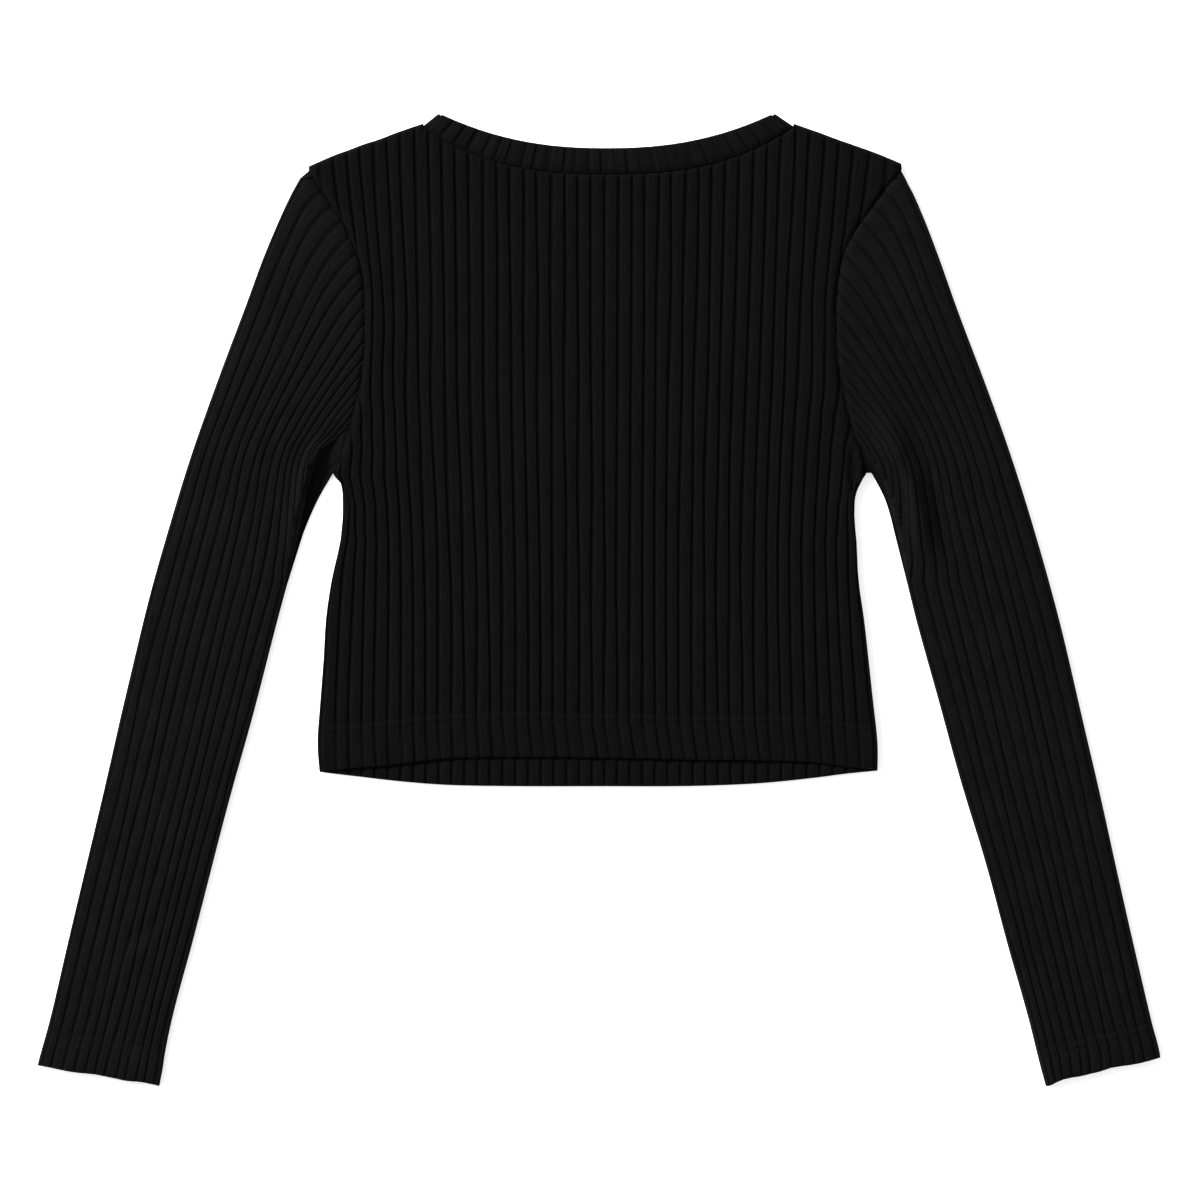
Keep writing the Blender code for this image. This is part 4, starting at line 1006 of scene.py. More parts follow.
def front_sheets():
    y, ends_in_neck = body_heights(body_ribs, front_rows, front_hem, front_neck)
    x = rib_x(body_ribs, y)
    hem = back_hem(rib_x(body_ribs, HEM_LEVEL))
    depth = hem - front_hem(rib_x(body_ribs, HEM_LEVEL))
    ribs = rib_profile(body_ribs)
    in_hem = 1 - ease((y - FRONT_ALLOWANCE_TOP) / FRONT_HEM_FADE[0])
    shown = ease(depth / STRIP_FADE) * ease((hem - y) / FRONT_HEM_FADE[1])
    inside = mix(WALL, DOUBLE, in_hem) + FRONT_RISE * ribs * shown
    return fold_sheets(front_rows, x, y, inside, UNDER_RISE * (1 - ribs), ends_in_neck)


def body_panel(name, rows, sheets, node):
    """The back or the front: its lower and its upper part are joined between the armholes."""
    blocks = [row.block for row in rows]
    slit = blocks.index("high") - 1

    def keep(column, row):
        rib = min(abs(body_ribs[column]), abs(body_ribs[column + 1]))
        if row == slit:
            return rib < ARMHOLE_RIB - TINY
        return row < slit or rib < SHOULDER_RIB - TINY

    bm = grid_of(len(body_ribs), len(rows), keep)
    second_sheet(bm, "inner")
    outer, inner = sheets
    faces = {(0, 0): outer, (0, 1): inner}
    return piece_of_cloth(bm, name, body_ribs, faces, body_knit, node)


# %% Make the back and the front
back_faces = back_sheets()
back = body_panel("knit_back", back_rows, back_faces, "back")
front = body_panel("knit_front", front_rows, front_sheets(), "front")

# %% [markdown]
# ## Sleeves
# Each sleeve is one tube of the same rib. It is set into the armhole at a slant, so that under the
# arm there is more cloth than room. As it lies, that cloth rolls over in a tuck: the upper layer's
# inner ribs dive round a soft edge, and a strip of the lower layer shows beyond it.

# %% Lines of a sleeve


class SleeveLines:
    """The lines of one sleeve, as distances from the garment's middle by height."""

    def __init__(self, side):
        right = side > 0
        self.side = side
        self.edge = column_of(SLEEVE, 0, 3 if right else 1)
        self.inner = column_of(SLEEVE, 0, 4 if right else 2)
        self.cuff_outer = CUFF_OUTER[side]
        seam = armhole_lines[side]
        self.armhole = lambda y: np.abs(beside(seam, y, -side * SEAM_LAP))
        tuck_height, tuck_across = (2, 3) if right else (0, 1)
        self.tuck = smooth([(row[tuck_height], row[tuck_across]) for row in TUCK])
        self.tuck_top = TUCK[0][tuck_height]
        self.tuck_foot = TUCK[-1][tuck_height]
        heights = np.linspace(SHOULDER_POINT, self.tuck_top, 41)
        steps = np.hypot(np.diff(heights), np.diff(self.armhole(heights)))
        steps = steps * (1 + CAP_CROWDING * bell(heights[1:] - self.tuck_top, CROWDING_REACH))
        ribs = CAP_RIBS * np.concatenate(([0.0], np.cumsum(steps))) / steps.sum()
        self.seam_rib = smooth(list(zip(heights, ribs)))
        self.seam_height = smooth(list(zip(ribs, heights)))

    def outer(self, y):
        gap = self.edge(SHOULDER_POINT) - self.armhole(SHOULDER_POINT)
        return self.edge(y) - gap * (1 - ease((SHOULDER_POINT - y) / SHOULDER_REACH))

    def up_tuck(self, y):
        """A height as a share of the way from the tuck's foot to its top."""
        return (y - self.tuck_foot) / (self.tuck_top - self.tuck_foot)

    def dive_height(self, rib):
        """Height at which a rib runs out on the tuck's edge."""
        share = np.clip((rib - FOREARM_RIBS) / (CAP_RIBS - FOREARM_RIBS), 0, 1)
        return mix(self.tuck_foot, self.tuck_top, share**TUCK_POWER)

    def tuck_margin(self, y):
        """Width of the tuck's round edge."""
        return SLEEVE_TURN * ease((self.tuck_top - y) / TUCK_START)

    def inner_end(self, y):
        """The last rib of the upper face, where it lies, and what its edge has left to turn."""
        share = np.clip(self.up_tuck(y), 0, 1)
        blend = np.clip((self.tuck_foot - y) / FOOT_BLEND, 0, 1)
        foot = self.tuck(self.tuck_foot) - self.inner(self.tuck_foot)
        in_cap = y >= self.tuck_top
        in_tuck = y >= self.tuck_foot
        tuck_rib = mix(FOREARM_RIBS, CAP_RIBS, share ** (1 / TUCK_POWER))
        last = np.where(in_tuck, tuck_rib, FOREARM_RIBS - EDGE_RIB * blend)
        tuck_edge = self.tuck(y) + self.tuck_margin(y)
        inner = np.where(in_tuck, tuck_edge, self.inner(y) + foot * (1 - blend) + SLEEVE_TURN)
        last = np.where(in_cap, self.seam_rib(y), last)
        inner = np.where(in_cap, self.armhole(y), inner)
        return last, inner, np.where(in_tuck, 0.0, blend)

    def rib_across(self, rib, y):
        """Where a rib lies at this height, and how far a rounded edge has turned there."""
        last, inner, blend = self.inner_end(y)
        outer = self.outer(y)
        safe = np.maximum(last, TINY)
        edge = np.minimum(SLEEVE_TURN, EDGE_RIB * (outer - inner) / safe)
        outer_turn = TURN_END * (1 - np.clip(rib / EDGE_RIB, 0, 1))
        past_last = np.clip((rib - last) / np.maximum(FOREARM_RIBS - last, TINY), 0, 1)
        inner_turn = TURN_END * blend * past_last
        width = np.maximum(outer - edge - inner, TINY)
        flat_ribs = np.maximum(last - EDGE_RIB, TINY)
        share = np.clip((rib - EDGE_RIB) / flat_ribs, 0, 1)
        pitch = np.clip(outer_pitch(y) * flat_ribs / width, *PITCH_LIMITS)
        x = outer - edge - width * (pitch * share + (1 - pitch) * share**SQUEEZE)
        x = np.where(rib < EDGE_RIB, outer - edge * (1 - np.sin(outer_turn)), x)
        x = np.where((rib > last) & (rib >= EDGE_RIB), inner - SLEEVE_TURN * np.sin(inner_turn), x)
        short = last <= EDGE_RIB
        x = np.where(short, mix(outer, inner, np.minimum(1.0, rib / safe)), x)
        turn = np.where(rib < EDGE_RIB, outer_turn, np.where(rib > last, inner_turn, 0.0))
        return x, np.where(short, outer_turn, turn)


outer_pitch = smooth(OUTER_PITCH)
LEFT, RIGHT = SleeveLines(-1), SleeveLines(1)

# %% Rows and columns of a sleeve
CUFF_ROWS = (28.0, 25.0, 23.0, 22.2, 21.4, 20.4, 19.1, 17.9, 16.9, 15.9, 14.5, 12.0, 9.0, 6.0, 3.5)
sleeve_rows = (
    [("cap", share) for share in (0, 0.006, 0.014, 0.024, 0.04, *np.linspace(0.065, 0.97, 30))]
    + [("roll", turn) for turn in np.radians((0, 18, 36, 54, 72, 90, 112, 135))]
    + [("floor", share) for share in (0.0, 0.12, 0.3, 0.5, 0.7, 0.88, 1.0)]
    + [("tube", share) for share in np.linspace(0.02, 1, 52)]
    + [("cuff", amount) for amount in CUFF_ROWS]
    + [("end", turn) for turn in TURNS[::-1]]
)
ROLL_START = sum(kind == "cap" for kind, _ in sleeve_rows)
TUBE_START = ROLL_START + sum(kind in ("roll", "floor") for kind, _ in sleeve_rows)
EDGE_RIBS = (0.12, 0.24, 0.36, 0.48, EDGE_RIB)
inner_edge_ribs = [FOREARM_RIBS - rib for rib in (0.0, *EDGE_RIBS)]
sleeve_ribs = rib_columns(0.0, CAP_RIBS, (*EDGE_RIBS, *inner_edge_ribs))
TUBE_COLUMN = int(np.argmin(np.abs(sleeve_ribs - FOREARM_RIBS)))
sleeve_ribs[TUBE_COLUMN] = FOREARM_RIBS


def sleeve_plan(lines, rib):
    """Distance, height and edge turn of every point of a sleeve, a row at a time."""
    beyond = rib > FOREARM_RIBS
    across = np.minimum(1.0, rib / FOREARM_RIBS)
    foot = np.where(beyond, lines.dive_height(rib), mix(CROSS_OUTER, lines.tuck_foot, across))
    roll_end = mix(CROSS_OUTER - ROLL_DROP, lines.tuck_foot - ROLL_DROP, across)
    end = mix(lines.cuff_outer, CUFF_INNER, across)
    share = lines.up_tuck(foot)
    up_side = np.clip(share / WEB_SHARE, 0, 1)
    over_web = np.clip((share - WEB_SHARE) / (1 - WEB_SHARE), 0, 1)
    brim_y = mix(lines.tuck_foot, UNDERARM - BELOW_UNDERARM, up_side)
    brim_x = mix(lines.inner(brim_y), lines.armhole(UNDERARM), over_web)
    tuck, margin = lines.tuck(foot), lines.tuck_margin(foot)
    places = []
    for index, (kind, amount) in enumerate(sleeve_rows):
        if kind == "cap":
            y = mix(lines.seam_height(rib), foot, amount)
        elif index < TUBE_START:
            y = mix(foot, roll_end, (index - ROLL_START) / (TUBE_START - ROLL_START))
        elif kind == "tube":
            y = mix(roll_end, end + CUFF_ROWS[0] + ABOVE_CUFF, amount)
        elif kind == "cuff":
            y = end + amount
        else:
            y = end + HEM_TURN * (1 - np.sin(amount))
        x, turn = lines.rib_across(rib, y)
        if kind == "roll":
            x = np.where(beyond, tuck + margin * (1 - np.sin(amount)), x)
            y = np.where(beyond, foot, y)
            turn = np.where(beyond, amount, turn)
        if kind == "floor":
            # The strip bows with the armhole beside it, the more so the nearer it is to the seam
            chord = mix(lines.armhole(lines.tuck_top), lines.armhole(UNDERARM), amount)
            bow = lines.armhole(mix(lines.tuck_top, UNDERARM, amount)) - chord
            strip = mix(tuck + TUCKED_UNDER * margin, brim_x, amount) + bow * share**WEB_BOW
            x = np.where(beyond, strip, x)
            y = np.where(beyond, mix(foot, brim_y, amount), y)
            turn = np.where(beyond, TURN_END, turn)
        places.append((x, y, turn))
    return tuple(np.array(part) for part in zip(*places))


# %% Folds and unevenness of the sleeves
# As for the back
LEFT_CREASES = (
    (((-164.0, 109.0), (-173.0, 95.5), (-181.0, 77.0), (-186.5, 52.0), (-192.0, 18.0)), 6.0, 4.2),
    (((-150.5, 112.0), (-160.0, 103.5), (-170.0, 97.0)), 3.0, -0.9),
    (((-196.0, 118.0), (-205.0, 85.0), (-208.0, 52.0)), 6.0, -0.7),
    (((-210.0, 170.0), (-226.0, 130.0), (-240.0, 88.0)), 9.0, 0.5),
    (((-262.0, -160.0), (-276.0, -172.0), (-292.0, -176.0)), 3.5, -1.2),
    (((-266.0, -193.0), (-282.0, -206.0), (-300.0, -212.0)), 4.0, -1.3),
    (((-270.0, -206.0), (-284.0, -219.0), (-296.0, -224.0)), 3.5, 1.1),
    (((-288.0, -224.0), (-300.0, -238.0), (-308.0, -244.0)), 3.0, 0.9),
    (((-226.0, -40.0), (-245.0, -60.0), (-262.0, -62.0)), 9.0, -0.5),
    (((-300.0, -240.0), (-320.0, -236.0), (-334.0, -246.0)), 5.0, 0.5),
)
RIGHT_CREASES = (
    (((176.0, 87.0), (184.1, 80.9), (188.1, 73.5), (189.7, 67.3), (189.7, 51.2), (192.1, 31.3)), 2.6, -1.6),
    (((163.0, 104.0), (182.0, 89.0), (191.5, 72.0), (194.0, 57.4), (197.2, 26.0)), 4.2, 2.8),
    (((165.0, 124.0), (180.0, 102.0), (193.0, 76.0), (199.0, 50.0), (205.0, 14.0)), 7.0, 5.6),
    (((186.0, 118.0), (194.0, 103.0), (207.0, 73.0), (212.0, 49.3), (219.0, 20.0)), 4.5, -1.8),
    (((160.0, 100.0), (166.0, 90.0), (172.0, 82.0)), 2.0, -0.8),
    (((262.0, -150.0), (280.0, -162.0), (296.0, -158.0)), 5.0, -0.7),
    (((270.0, -205.0), (288.0, -214.0), (304.0, -206.0)), 5.0, -0.8),
    (((222.0, -52.0), (242.0, -70.0), (262.0, -72.0)), 9.0, -0.5),
    (((296.0, -236.0), (318.0, -244.0), (332.0, -238.0)), 5.0, 0.5),
)
SLEEVE_RISES = {-1: 0.6 * RIB_RISE, 1: 0.75 * RIB_RISE}
SEEDS = {-1: 0.3, 1: 2.2}  # of the waves in each sleeve
# The same of the sleeves as of the back above
SLEEVE_WANDER = (0.55, 29.0, 2.1, 1.5, 47.0, 0.7)
SLEEVE_UNEVEN = (0.2, 36.0, 1.0)
SLEEVE_SWELL = (0.45, 26.0, 33.0)
CALM_SEAM = 25.0  # the ribs begin to wander over this distance from the seam
CUFF_WAVE = (0.4, 9.0)  # how uneven a cuff's edge is, and over what height
CUFF_RISE = 0.4  # how much fuller the doubled cuff is
CUFF_SINK = 0.2  # how far its stitches sink
SLEEVE_CROWN = 0.7  # how much fuller a sleeve is along its middle, and how broadly
CROWN_POWER = 0.7


def sleeve_sheets(lines, creases):
    """The outer and inner face of both layers of a sleeve."""
    rib, side, seed = sleeve_ribs, lines.side, SEEDS[lines.side]
    x, y, turn = sleeve_plan(lines, rib)
    kinds = np.array([kind for kind, _ in sleeve_rows])[:, None]
    amounts = np.array([amount for _, amount in sleeve_rows])[:, None]
    beyond = rib > FOREARM_RIBS
    across = np.clip(rib / FOREARM_RIBS, 0, 1)
    in_cap = kinds == "cap"
    past_tuck = (kinds == "floor") & beyond
    rolled = (kinds == "roll") & beyond
    cuff_distance = np.where(beyond, FAR, y - mix(lines.cuff_outer, CUFF_INNER, across))

    level = np.cos(turn)
    calm = level * (1 - past_tuck) * ease((lines.seam_height(rib) - y) / CALM_SEAM)
    x = x + calm * wander(SLEEVE_WANDER, y, rib, seed)
    y = y + CUFF_WAVE[0] * bell(cuff_distance, CUFF_WAVE[1]) * np.sin(1.3 * rib + seed)

    # The upper layer's outer face
    doubled = doubled_at(cuff_distance, CUFF_NEEDLE_ROWS)
    rise = SLEEVE_RISES[side] * (1 + swell(SLEEVE_UNEVEN, y, 1.7 * np.round(rib), seed))
    rise, top = stitched(rise, SLEEVE_TOP + CUFF_RISE * doubled, cuff_distance, CUFF_NEEDLE_ROWS, CUFF_SINK)
    seam = lines.armhole(np.clip(y, UNDERARM, SHOULDER_POINT))
    seam_lean = slope_of(lines.armhole, np.clip(y, UNDERARM + 1, SHOULDER_POINT - 1))
    seam_distance = np.hypot(x - seam, np.maximum(0, UNDERARM - y)) / np.hypot(1.0, seam_lean)
    at_seam = (1 - ease(seam_distance / SEAM_STEP)) * in_cap
    rise = rise * (1 - SEAM_FLAT * at_seam)
    top = top - SEAM_DIP * bell(seam_distance, DIP_WIDTH) * in_cap
    top = top + SLEEVE_CROWN * np.sin(np.pi * across) ** CROWN_POWER * (1 - at_seam)
    top = top + swell(SLEEVE_SWELL, x, y, seed)
    for line, width, height in creases:
        top = top + crease(side * x, y, line, width, height)
    top = np.maximum(top, SLEEVE_INNER + LEAST_WALL["sleeve"]) + rise * rib_profile(rib)

    # The other faces, which meet at the cuff's end
    low = UNDER_RISE * (1 - rib_profile(rib))
    over = np.where(doubled > 0.5, CUFF_INSIDE[1], SLEEVE_INNER)
    under = np.where(doubled > 0.5, CUFF_INSIDE[0], WALL)
    close = np.where(kinds == "end", np.cos(amounts), 1.0)
    top, over = drawn_together(top, over, close)
    low, under = drawn_together(low, under, close)

    # The tuck's edge, rolled over except on the level patch beside the web
    dive = lines.dive_height(rib)
    bend = np.cos(np.where(rolled, amounts, 0.0))
    patch_share = PATCH_SHARES[side]
    patch = ease((lines.up_tuck(dive) - 1 + patch_share) / patch_share)
    roll_top = mix(ROLL_MIDDLE, np.where(bend > 0, top, ROLL_UNDER), np.abs(bend))
    roll_top = mix(roll_top, mix(top, PATCH_TOP, ease((1 - bend) / PATCH_BEND)), patch)
    flat_low = rolled | past_tuck
    top = np.where(rolled, roll_top, mix(SLEEVE_MIDDLE, top, level))
    roll_over = mix(ROLL_UNDER, SLEEVE_INNER, np.maximum(bend, 0))
    over = np.where(rolled, roll_over, mix(SLEEVE_MIDDLE, over, level))
    low = np.where(flat_low, low, mix(SLEEVE_MIDDLE, low, level))
    under = np.where(flat_low, under, mix(SLEEVE_MIDDLE, under, level))

    # The strip beyond it
    strip = mix(mix(TUCK_FLOOR, TUCK_EDGE, amounts), PATCH_TOP, patch)
    strip = strip + STRIP_RISE * rib_profile(STRIP_RIB + amounts)
    half = mix(*POCKET_HALF, np.clip(amounts, 0, 1))
    top = np.where(past_tuck, strip, top)
    low = np.where(past_tuck, BRIM_LIFT * amounts, low)
    over = np.where(past_tuck, POCKET_MIDDLE + half, over)
    under = np.where(past_tuck, POCKET_MIDDLE - half, under)

    # The inner face keeps its distance from the outline and from the tuck's edge
    margin = lines.tuck_margin(dive) / SLEEVE_TURN
    shift = WALL * np.sin(turn) * np.where(rib < 1, -1.0, 1.0)
    inner_x = np.where(beyond, x, x + shift)
    inner_x = np.where(rolled, x + WALL * np.sin(np.minimum(turn, np.pi / 2)) * margin, inner_x)
    inner_x = np.where(past_tuck, lines.tuck(dive) + WALL * margin, inner_x)
    inner_y = np.where(past_tuck, dive, y)
    outer, inner = (side * x, y), (side * inner_x, inner_y)
    return {(0, 0): (*outer, top), (1, 0): (*outer, low), (0, 1): (*inner, over), (1, 1): (*inner, under)}


def sleeve(name, lines, creases, node):
    """One sleeve, open at its seam and at its cuff, and its faces."""
    rows, columns = len(sleeve_rows), len(sleeve_ribs)
    bm = grid_of(columns, rows, lambda column, row: row < TUBE_START - 1 or column < TUBE_COLUMN)
    second_sheet(bm, "lower")
    column = bm.verts.layers.int["column"]
    row = bm.verts.layers.int["row"]
    lower = bm.verts.layers.int["lower"]
    openings = []
    for face in bm.faces:
        if len({v[lower] for v in face.verts}) == 1:
            continue
        seam_or_cuff = ((row, 0), (column, columns - 1), (row, rows - 1))
        if any(all(v[layer] == end for v in face.verts) for layer, end in seam_or_cuff):
            openings.append(face)
    bmesh.ops.delete(bm, geom=openings, context="FACES")
    second_sheet(bm, "inner")
    sheets = sleeve_sheets(lines, creases)
    # On the strip the ribs run along the tuck's edge
    ribs = np.tile(sleeve_ribs, (rows, 1))
    for index, (kind, amount) in enumerate(sleeve_rows):
        if kind == "floor":
            ribs[index, TUBE_COLUMN + 1 :] = FOREARM_RIBS + STRIP_RIB + amount
    return piece_of_cloth(bm, name, ribs, sheets, sleeve_knit, node), sheets


# %% Make the sleeves
left, left_faces = sleeve("knit_sleeve_left", LEFT, LEFT_CREASES, "sleeve_left")
right, right_faces = sleeve("knit_sleeve_right", RIGHT, RIGHT_CREASES, "sleeve_right")

# %% [markdown]
# ## Neckband
# The band is one strip of the same rib, folded lengthwise and sewn on stretched, so that its ribs
# stand further apart than the body's, stand across the seam, and are shallower and less even.

# %% Make the neckband
BAND_EDGE = 1.5  # width of its rounded free edge
BAND_UNEVEN = 0.24  # how far its ribs are off their even places, in ribs
BAND_PUFF = 0.45  # how much fuller the back band is along its middle,
BAND_PUFF_POWER = 0.8
BAND_LAP_DIP = 0.034  # how much lower it is where it runs on past the seam,
BAND_SEAM_DIP = 0.6  # it sinks by this much beside the seam, and its ribs lose this share
BAND_FOLD_SHARE = 0.011  # the fold at each end takes up this share of half the band,
BAND_FOLD_LIFT = 0.36  # and lifts its seam edge by this share of how far it reaches out
FRONT_BAND_STEPS = 72
# The band's free edge and its seam, round the back and round the front of the neck
BAND_PARTS = {
    "back": (BAND_DROP, BAND_POWER, back_neck),
    "front": (FRONT_BAND_DROP, FRONT_NECK_POWER, front_neck),
}


def band_place(rib):
    """Share of the way round the back at which a rib lies, a little unevenly."""
    share = (rib - 0.5) / BAND_RIBS
    return share + BAND_UNEVEN * math.sin(2.6 * rib + 0.8) * math.sin(math.pi * share) / BAND_RIBS


band_columns = (
    [("back", band_place(rib)) for rib in rib_columns(0.5, BAND_RIBS + 0.5)]
    + [("right", math.radians(turn)) for turn in range(15, 180, 15)]
    + [("front", step / FRONT_BAND_STEPS) for step in range(1, FRONT_BAND_STEPS)]
    + [("left", math.radians(turn)) for turn in range(165, 0, -15)]
)
band_rows = (
    [("free", math.radians(turn)) for turn in (75, 60, 45, 30, 15, 0)]
    + [("part", share) for share in (0.8, 0.62, 0.45, 0.3)]
    + [("seam", distance) for distance in (2.4, 1.6, 0.8, 0.0)]
)


def band_edges(part, place):
    """The band's seam edge and free edge at a share of its way round the back or the front."""
    drop, power, neck = BAND_PARTS[part]
    along_back = (2 * place - 1) * (1 - 2 * BAND_FOLD_SHARE)
    across = along_back if part == "back" else math.cos(math.pi * place)
    seam_x = NECK_MIDDLE + NECK_HALF * across
    free_y = BAND_TIP - drop * (1 - abs(across) ** power)
    return (seam_x, float(neck(seam_x))), (BAND_TIP_MIDDLE + BAND_TIP_HALF * across, free_y)


def back_band_top(place, share, width):
    """Height of the band's upper face at a place along the back and a share of its width."""
    rib = place * BAND_RIBS + 0.5
    uneven = 0.18 * math.sin(2.3 * rib) + 0.12 * math.sin(0.9 * rib + 1)
    at_seam = BAND_SEAM_DIP * (1 - ease(share * width / SEAM_STEP))
    ribs = float(rib_profile(rib + uneven * math.sin(math.pi * place)))
    puff = BAND_PUFF * math.sin(math.pi * share) ** BAND_PUFF_POWER if share > 0 else -BAND_LAP_DIP
    return BAND_BACK_INNER + BAND_THICK + BAND_RISE * ribs * (1 - at_seam) + puff - at_seam


def band_point(part, amount, kind, edge, inner):
    """Place of one point of the band. Its ends fold over from the back to the front."""
    side = {"left": -1, "right": 1}.get(part)
    if side:
        seam = (NECK_MIDDLE + side * NECK_HALF, NECK_CORNER)
        free = (BAND_TIP_MIDDLE + side * BAND_TIP_HALF, BAND_TIP)
    else:
        seam, free = band_edges(part, amount)
    width = math.dist(seam, free)
    round_edge = math.cos(edge) if kind == "free" else 1.0
    if kind == "free":
        share = 1 - BAND_EDGE * (1 - math.sin(edge)) / width
    else:
        share = edge if kind == "part" else (edge - SEAM_LAP) / width
    x, y = mix(seam[0], free[0], share), mix(seam[1], free[1], share)
    if side:
        across, up = free[0] - seam[0], free[1] - seam[1]
        radii = [(BAND_BACK_INNER + wall) / 2 for wall in (BAND_THICK, -BAND_THICK)]
        radius = mix(sum(radii) / 2, radii[inner], round_edge)
        reach = (radius * math.sin(amount) - radii[0]) / width
        lift = -BAND_FOLD_LIFT * reach if kind == "seam" else 0.0
        x += side * up * reach + across * lift
        y += up * lift - side * across * reach
        return x, y, radii[0] + radius * math.cos(amount)
    if part == "back":
        faces = (back_band_top(amount, share, width), BAND_BACK_INNER)
    else:
        faces = (0.0, BAND_THICK)
    return x, y, mix(sum(faces) / 2, faces[inner], round_edge)


def neckband():
    columns = len(band_columns)
    bm = grid_of(columns + 1, len(band_rows), lambda *cell: True)
    column = bm.verts.layers.int["column"]
    row = bm.verts.layers.int["row"]
    first = {v[row]: v for v in bm.verts if v[column] == 0}
    closing = {v: first[v[row]] for v in bm.verts if v[column] == columns}
    bmesh.ops.weld_verts(bm, targetmap=closing)
    second_sheet(bm, "inner")
    ribs = [
        (1.5 - place) * BAND_RIBS if part == "front" else place * BAND_RIBS + 0.5
        for part, place in band_columns
    ]
    sheets = {}
    for inner in (0, 1):
        points = [[band_point(*key, *row_key, inner) for key in band_columns] for row_key in band_rows]
        sheets[0, inner] = tuple(np.array(points).transpose(2, 0, 1))
    return piece_of_cloth(bm, "knit_neckband", ribs, sheets, band_knit, "neckband")


neck = neckband()

# %% [markdown]
# ## Coverstitch
# The hem and the cuffs are turned up once and sewn with a twin needle, which leaves two rows of
# straight stitches about 5 mm apart on the outside. Each stitch is a short thread that sinks a
# little at both ends, so it is made as its own slim spindle on the cloth.

# %% Make the stitches
STITCH = 2.7  # from one needle hole to the next
STITCH_SPAN = (0.04, 0.96)  # the thread shows between these shares of it,
STITCH_THICK = 0.3
STITCH_SINK = 0.04  # and lies this much in the knit


def needle_rows(sheet, rows, keys, columns):
    """Points of a face along each row of stitches."""
    return [np.stack([axis[rows.index(key), columns] for axis in sheet], axis=1) for key in keys]


def stitches(name, lines_of_points):
    """One object with a spindle for each stitch along each line."""
    bm = bmesh.new()
    count = 0
    for points in lines_of_points:
        runs = np.concatenate(([0.0], np.cumsum(np.linalg.norm(np.diff(points, axis=0), axis=1))))
        number = int(runs[-1] / STITCH)
        for index in range(number):
            ends = [(index + share) * runs[-1] / number for share in STITCH_SPAN]
            at = [np.array([np.interp(e, runs, axis) for axis in points.T]) for e in ends]
            middle = (at[0] + at[1]) / 2
            middle[2] = max(np.interp(sum(ends) / 2, runs, points[:, 2]), middle[2]) - STITCH_SINK
            way = Vector(at[1] - at[0])
            turn = way.to_track_quat("X", "Z").to_matrix().to_4x4()
            half = MM / 2 * Vector((way.length, STITCH_THICK, STITCH_THICK))
            place = Matrix.Translation(Vector(middle) * MM) @ turn @ Matrix.Diagonal((*half, 1.0))
            bmesh.ops.create_uvsphere(bm, u_segments=6, v_segments=5, radius=1.0, matrix=place)
            count += 1
    piece = object_of(bm, name, thread)
    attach(piece, "root")
    print(name, count, "stitches")
    return piece


hem_keys = [("low", "hem", height) for height in NEEDLE_ROWS]
hem_columns = np.flatnonzero(np.abs(body_ribs) < FLAT_RIB)
hem_stitches = stitches("stitches_hem", needle_rows(back_faces[0], back_rows, hem_keys, hem_columns))

cuff_keys = [("cuff", height) for height in CUFF_NEEDLE_ROWS]
on_top = (sleeve_ribs > EDGE_RIB) & (sleeve_ribs < FOREARM_RIBS - EDGE_RIB)
cuff_rows = [
    needle_rows(faces[0, 0], sleeve_rows, cuff_keys, np.flatnonzero(on_top))
    for faces in (left_faces, right_faces)
]
left_stitches = stitches("stitches_cuff_left", cuff_rows[0])
right_stitches = stitches("stitches_cuff_right", cuff_rows[1])

# %% [markdown]

# %% [markdown]
# ## Surface, light and camera
# The garment lies on a plain white surface that glows a little. A low main light stands to its upper
# left and grazes the ribs, and a soft box beside its left sleeve makes the light fall off across it.
# A white room fills the rest. The camera looks straight down.

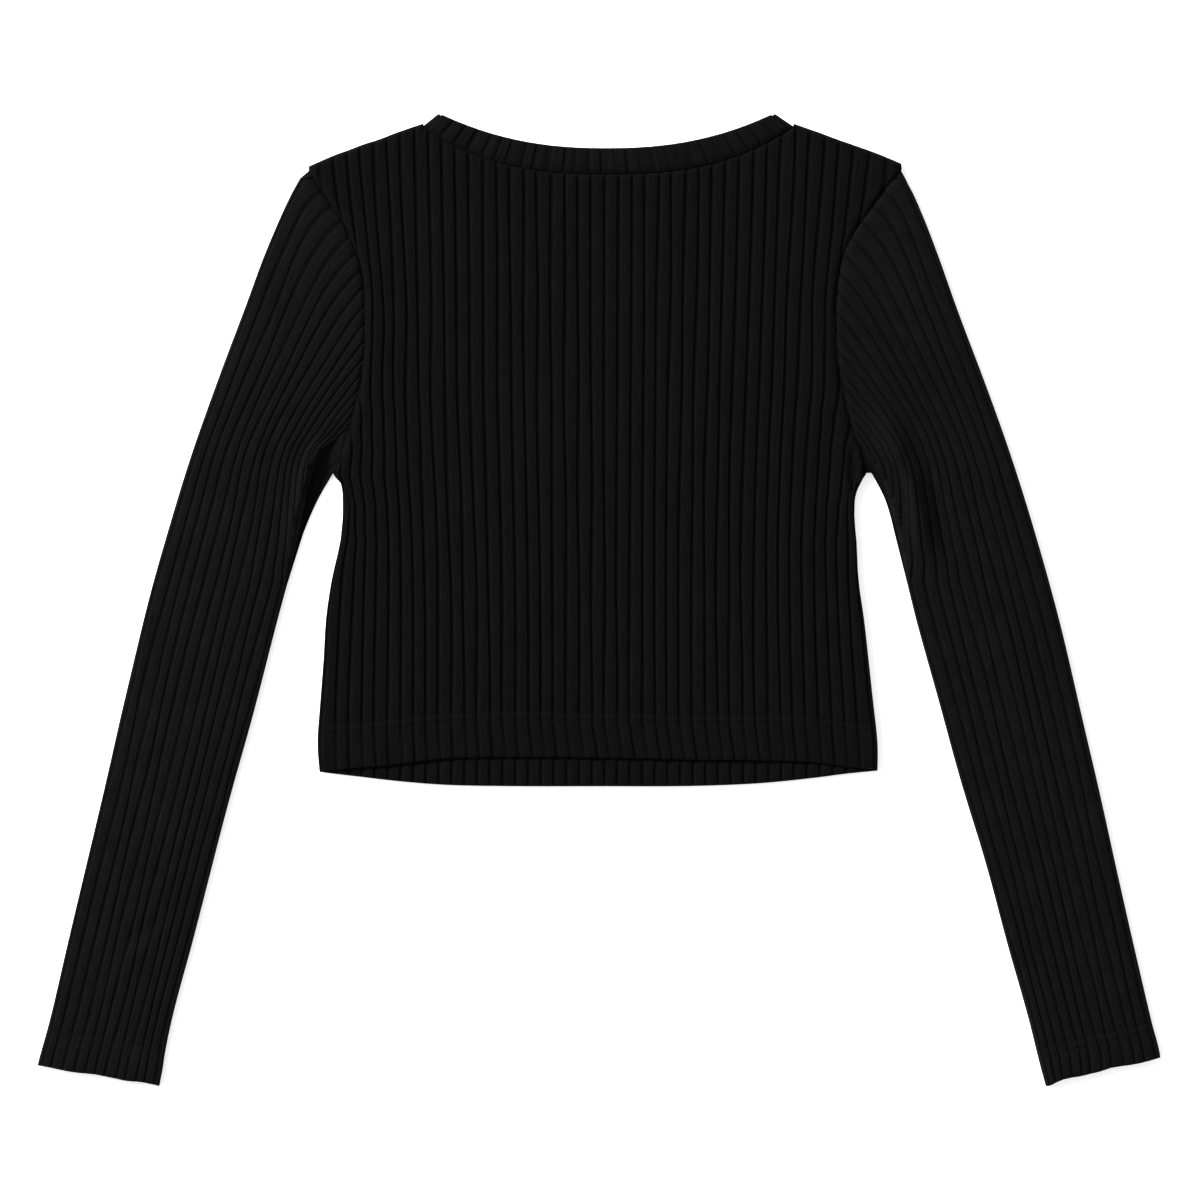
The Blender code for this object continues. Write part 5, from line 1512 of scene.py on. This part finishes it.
# %% Surface, light and camera
GAMMA = 0.83  # below 1, which deepens the dark tones
SURFACE_HALF = 6.0
SURFACE_DROP = 0.0002  # keeps the surface just under the cloth
SURFACE_GLOW = 0.62
ROOM_STRENGTH = 0.42
SUN_AZIMUTH, SUN_ELEVATION = 144, 34  # in degrees, the first from +X towards +Y

scene = bpy.context.scene
scene.view_settings.view_transform = "Standard"
scene.view_settings.gamma = GAMMA

matt_white = {"Base_Color": linear("#fcfcfc"), "Roughness": 0.9, "Specular_IOR_Level": 0.1}
glow = {"Emission_Color": linear("#ffffff"), "Emission_Strength": SURFACE_GLOW}
board = new_material("white painted board", **matt_white, **glow)[0]
surface = bmesh.new()
bmesh.ops.create_grid(surface, x_segments=1, y_segments=1, size=SURFACE_HALF)
floor = object_of(surface, "surface", board)
floor.location.z = -SURFACE_DROP

world = bpy.data.worlds.new("white room")
scene.world = world
world.use_nodes = True
room = world.node_tree.nodes["Background"].inputs
room["Color"].default_value = (1.0, 1.0, 1.0, 1.0)
room["Strength"].default_value = ROOM_STRENGTH


def add_light(name, kind, energy, place, aim, **settings):
    """A light that stands at a place and shines towards another."""
    data = bpy.data.lights.new(name, kind)
    data.energy = energy
    for key, value in settings.items():
        setattr(data, key, value)
    light = bpy.data.objects.new(name, data)
    light.location = place
    light.rotation_euler = (Vector(aim) - light.location).to_track_quat("-Z", "Y").to_euler()
    scene.collection.objects.link(light)


azimuth, elevation = math.radians(SUN_AZIMUTH), math.radians(SUN_ELEVATION)
level = math.cos(elevation)
sun_place = (math.cos(azimuth) * level, math.sin(azimuth) * level, math.sin(elevation))
box_place, box_aim = (-1.0, 0.35, 0.85), (-0.25, -0.05, 0.0)
add_light("main light", "SUN", energy=4.4, place=sun_place, aim=(0.0, 0.0, 0.0), angle=math.radians(12))
add_light("soft box", "AREA", energy=5.0, place=box_place, aim=box_aim, size=0.6)

LENS = 100.0
FIELD = 0.744  # width of the picture at the surface, in metres
SENSOR = 36.0
LOOK_AT = (0.0006, -0.0003)
camera_data = bpy.data.cameras.new("camera")
camera_data.lens = LENS
camera_data.sensor_width = SENSOR
camera = bpy.data.objects.new("camera", camera_data)
camera.location = (*LOOK_AT, FIELD * LENS / SENSOR)
scene.collection.objects.link(camera)
scene.camera = camera
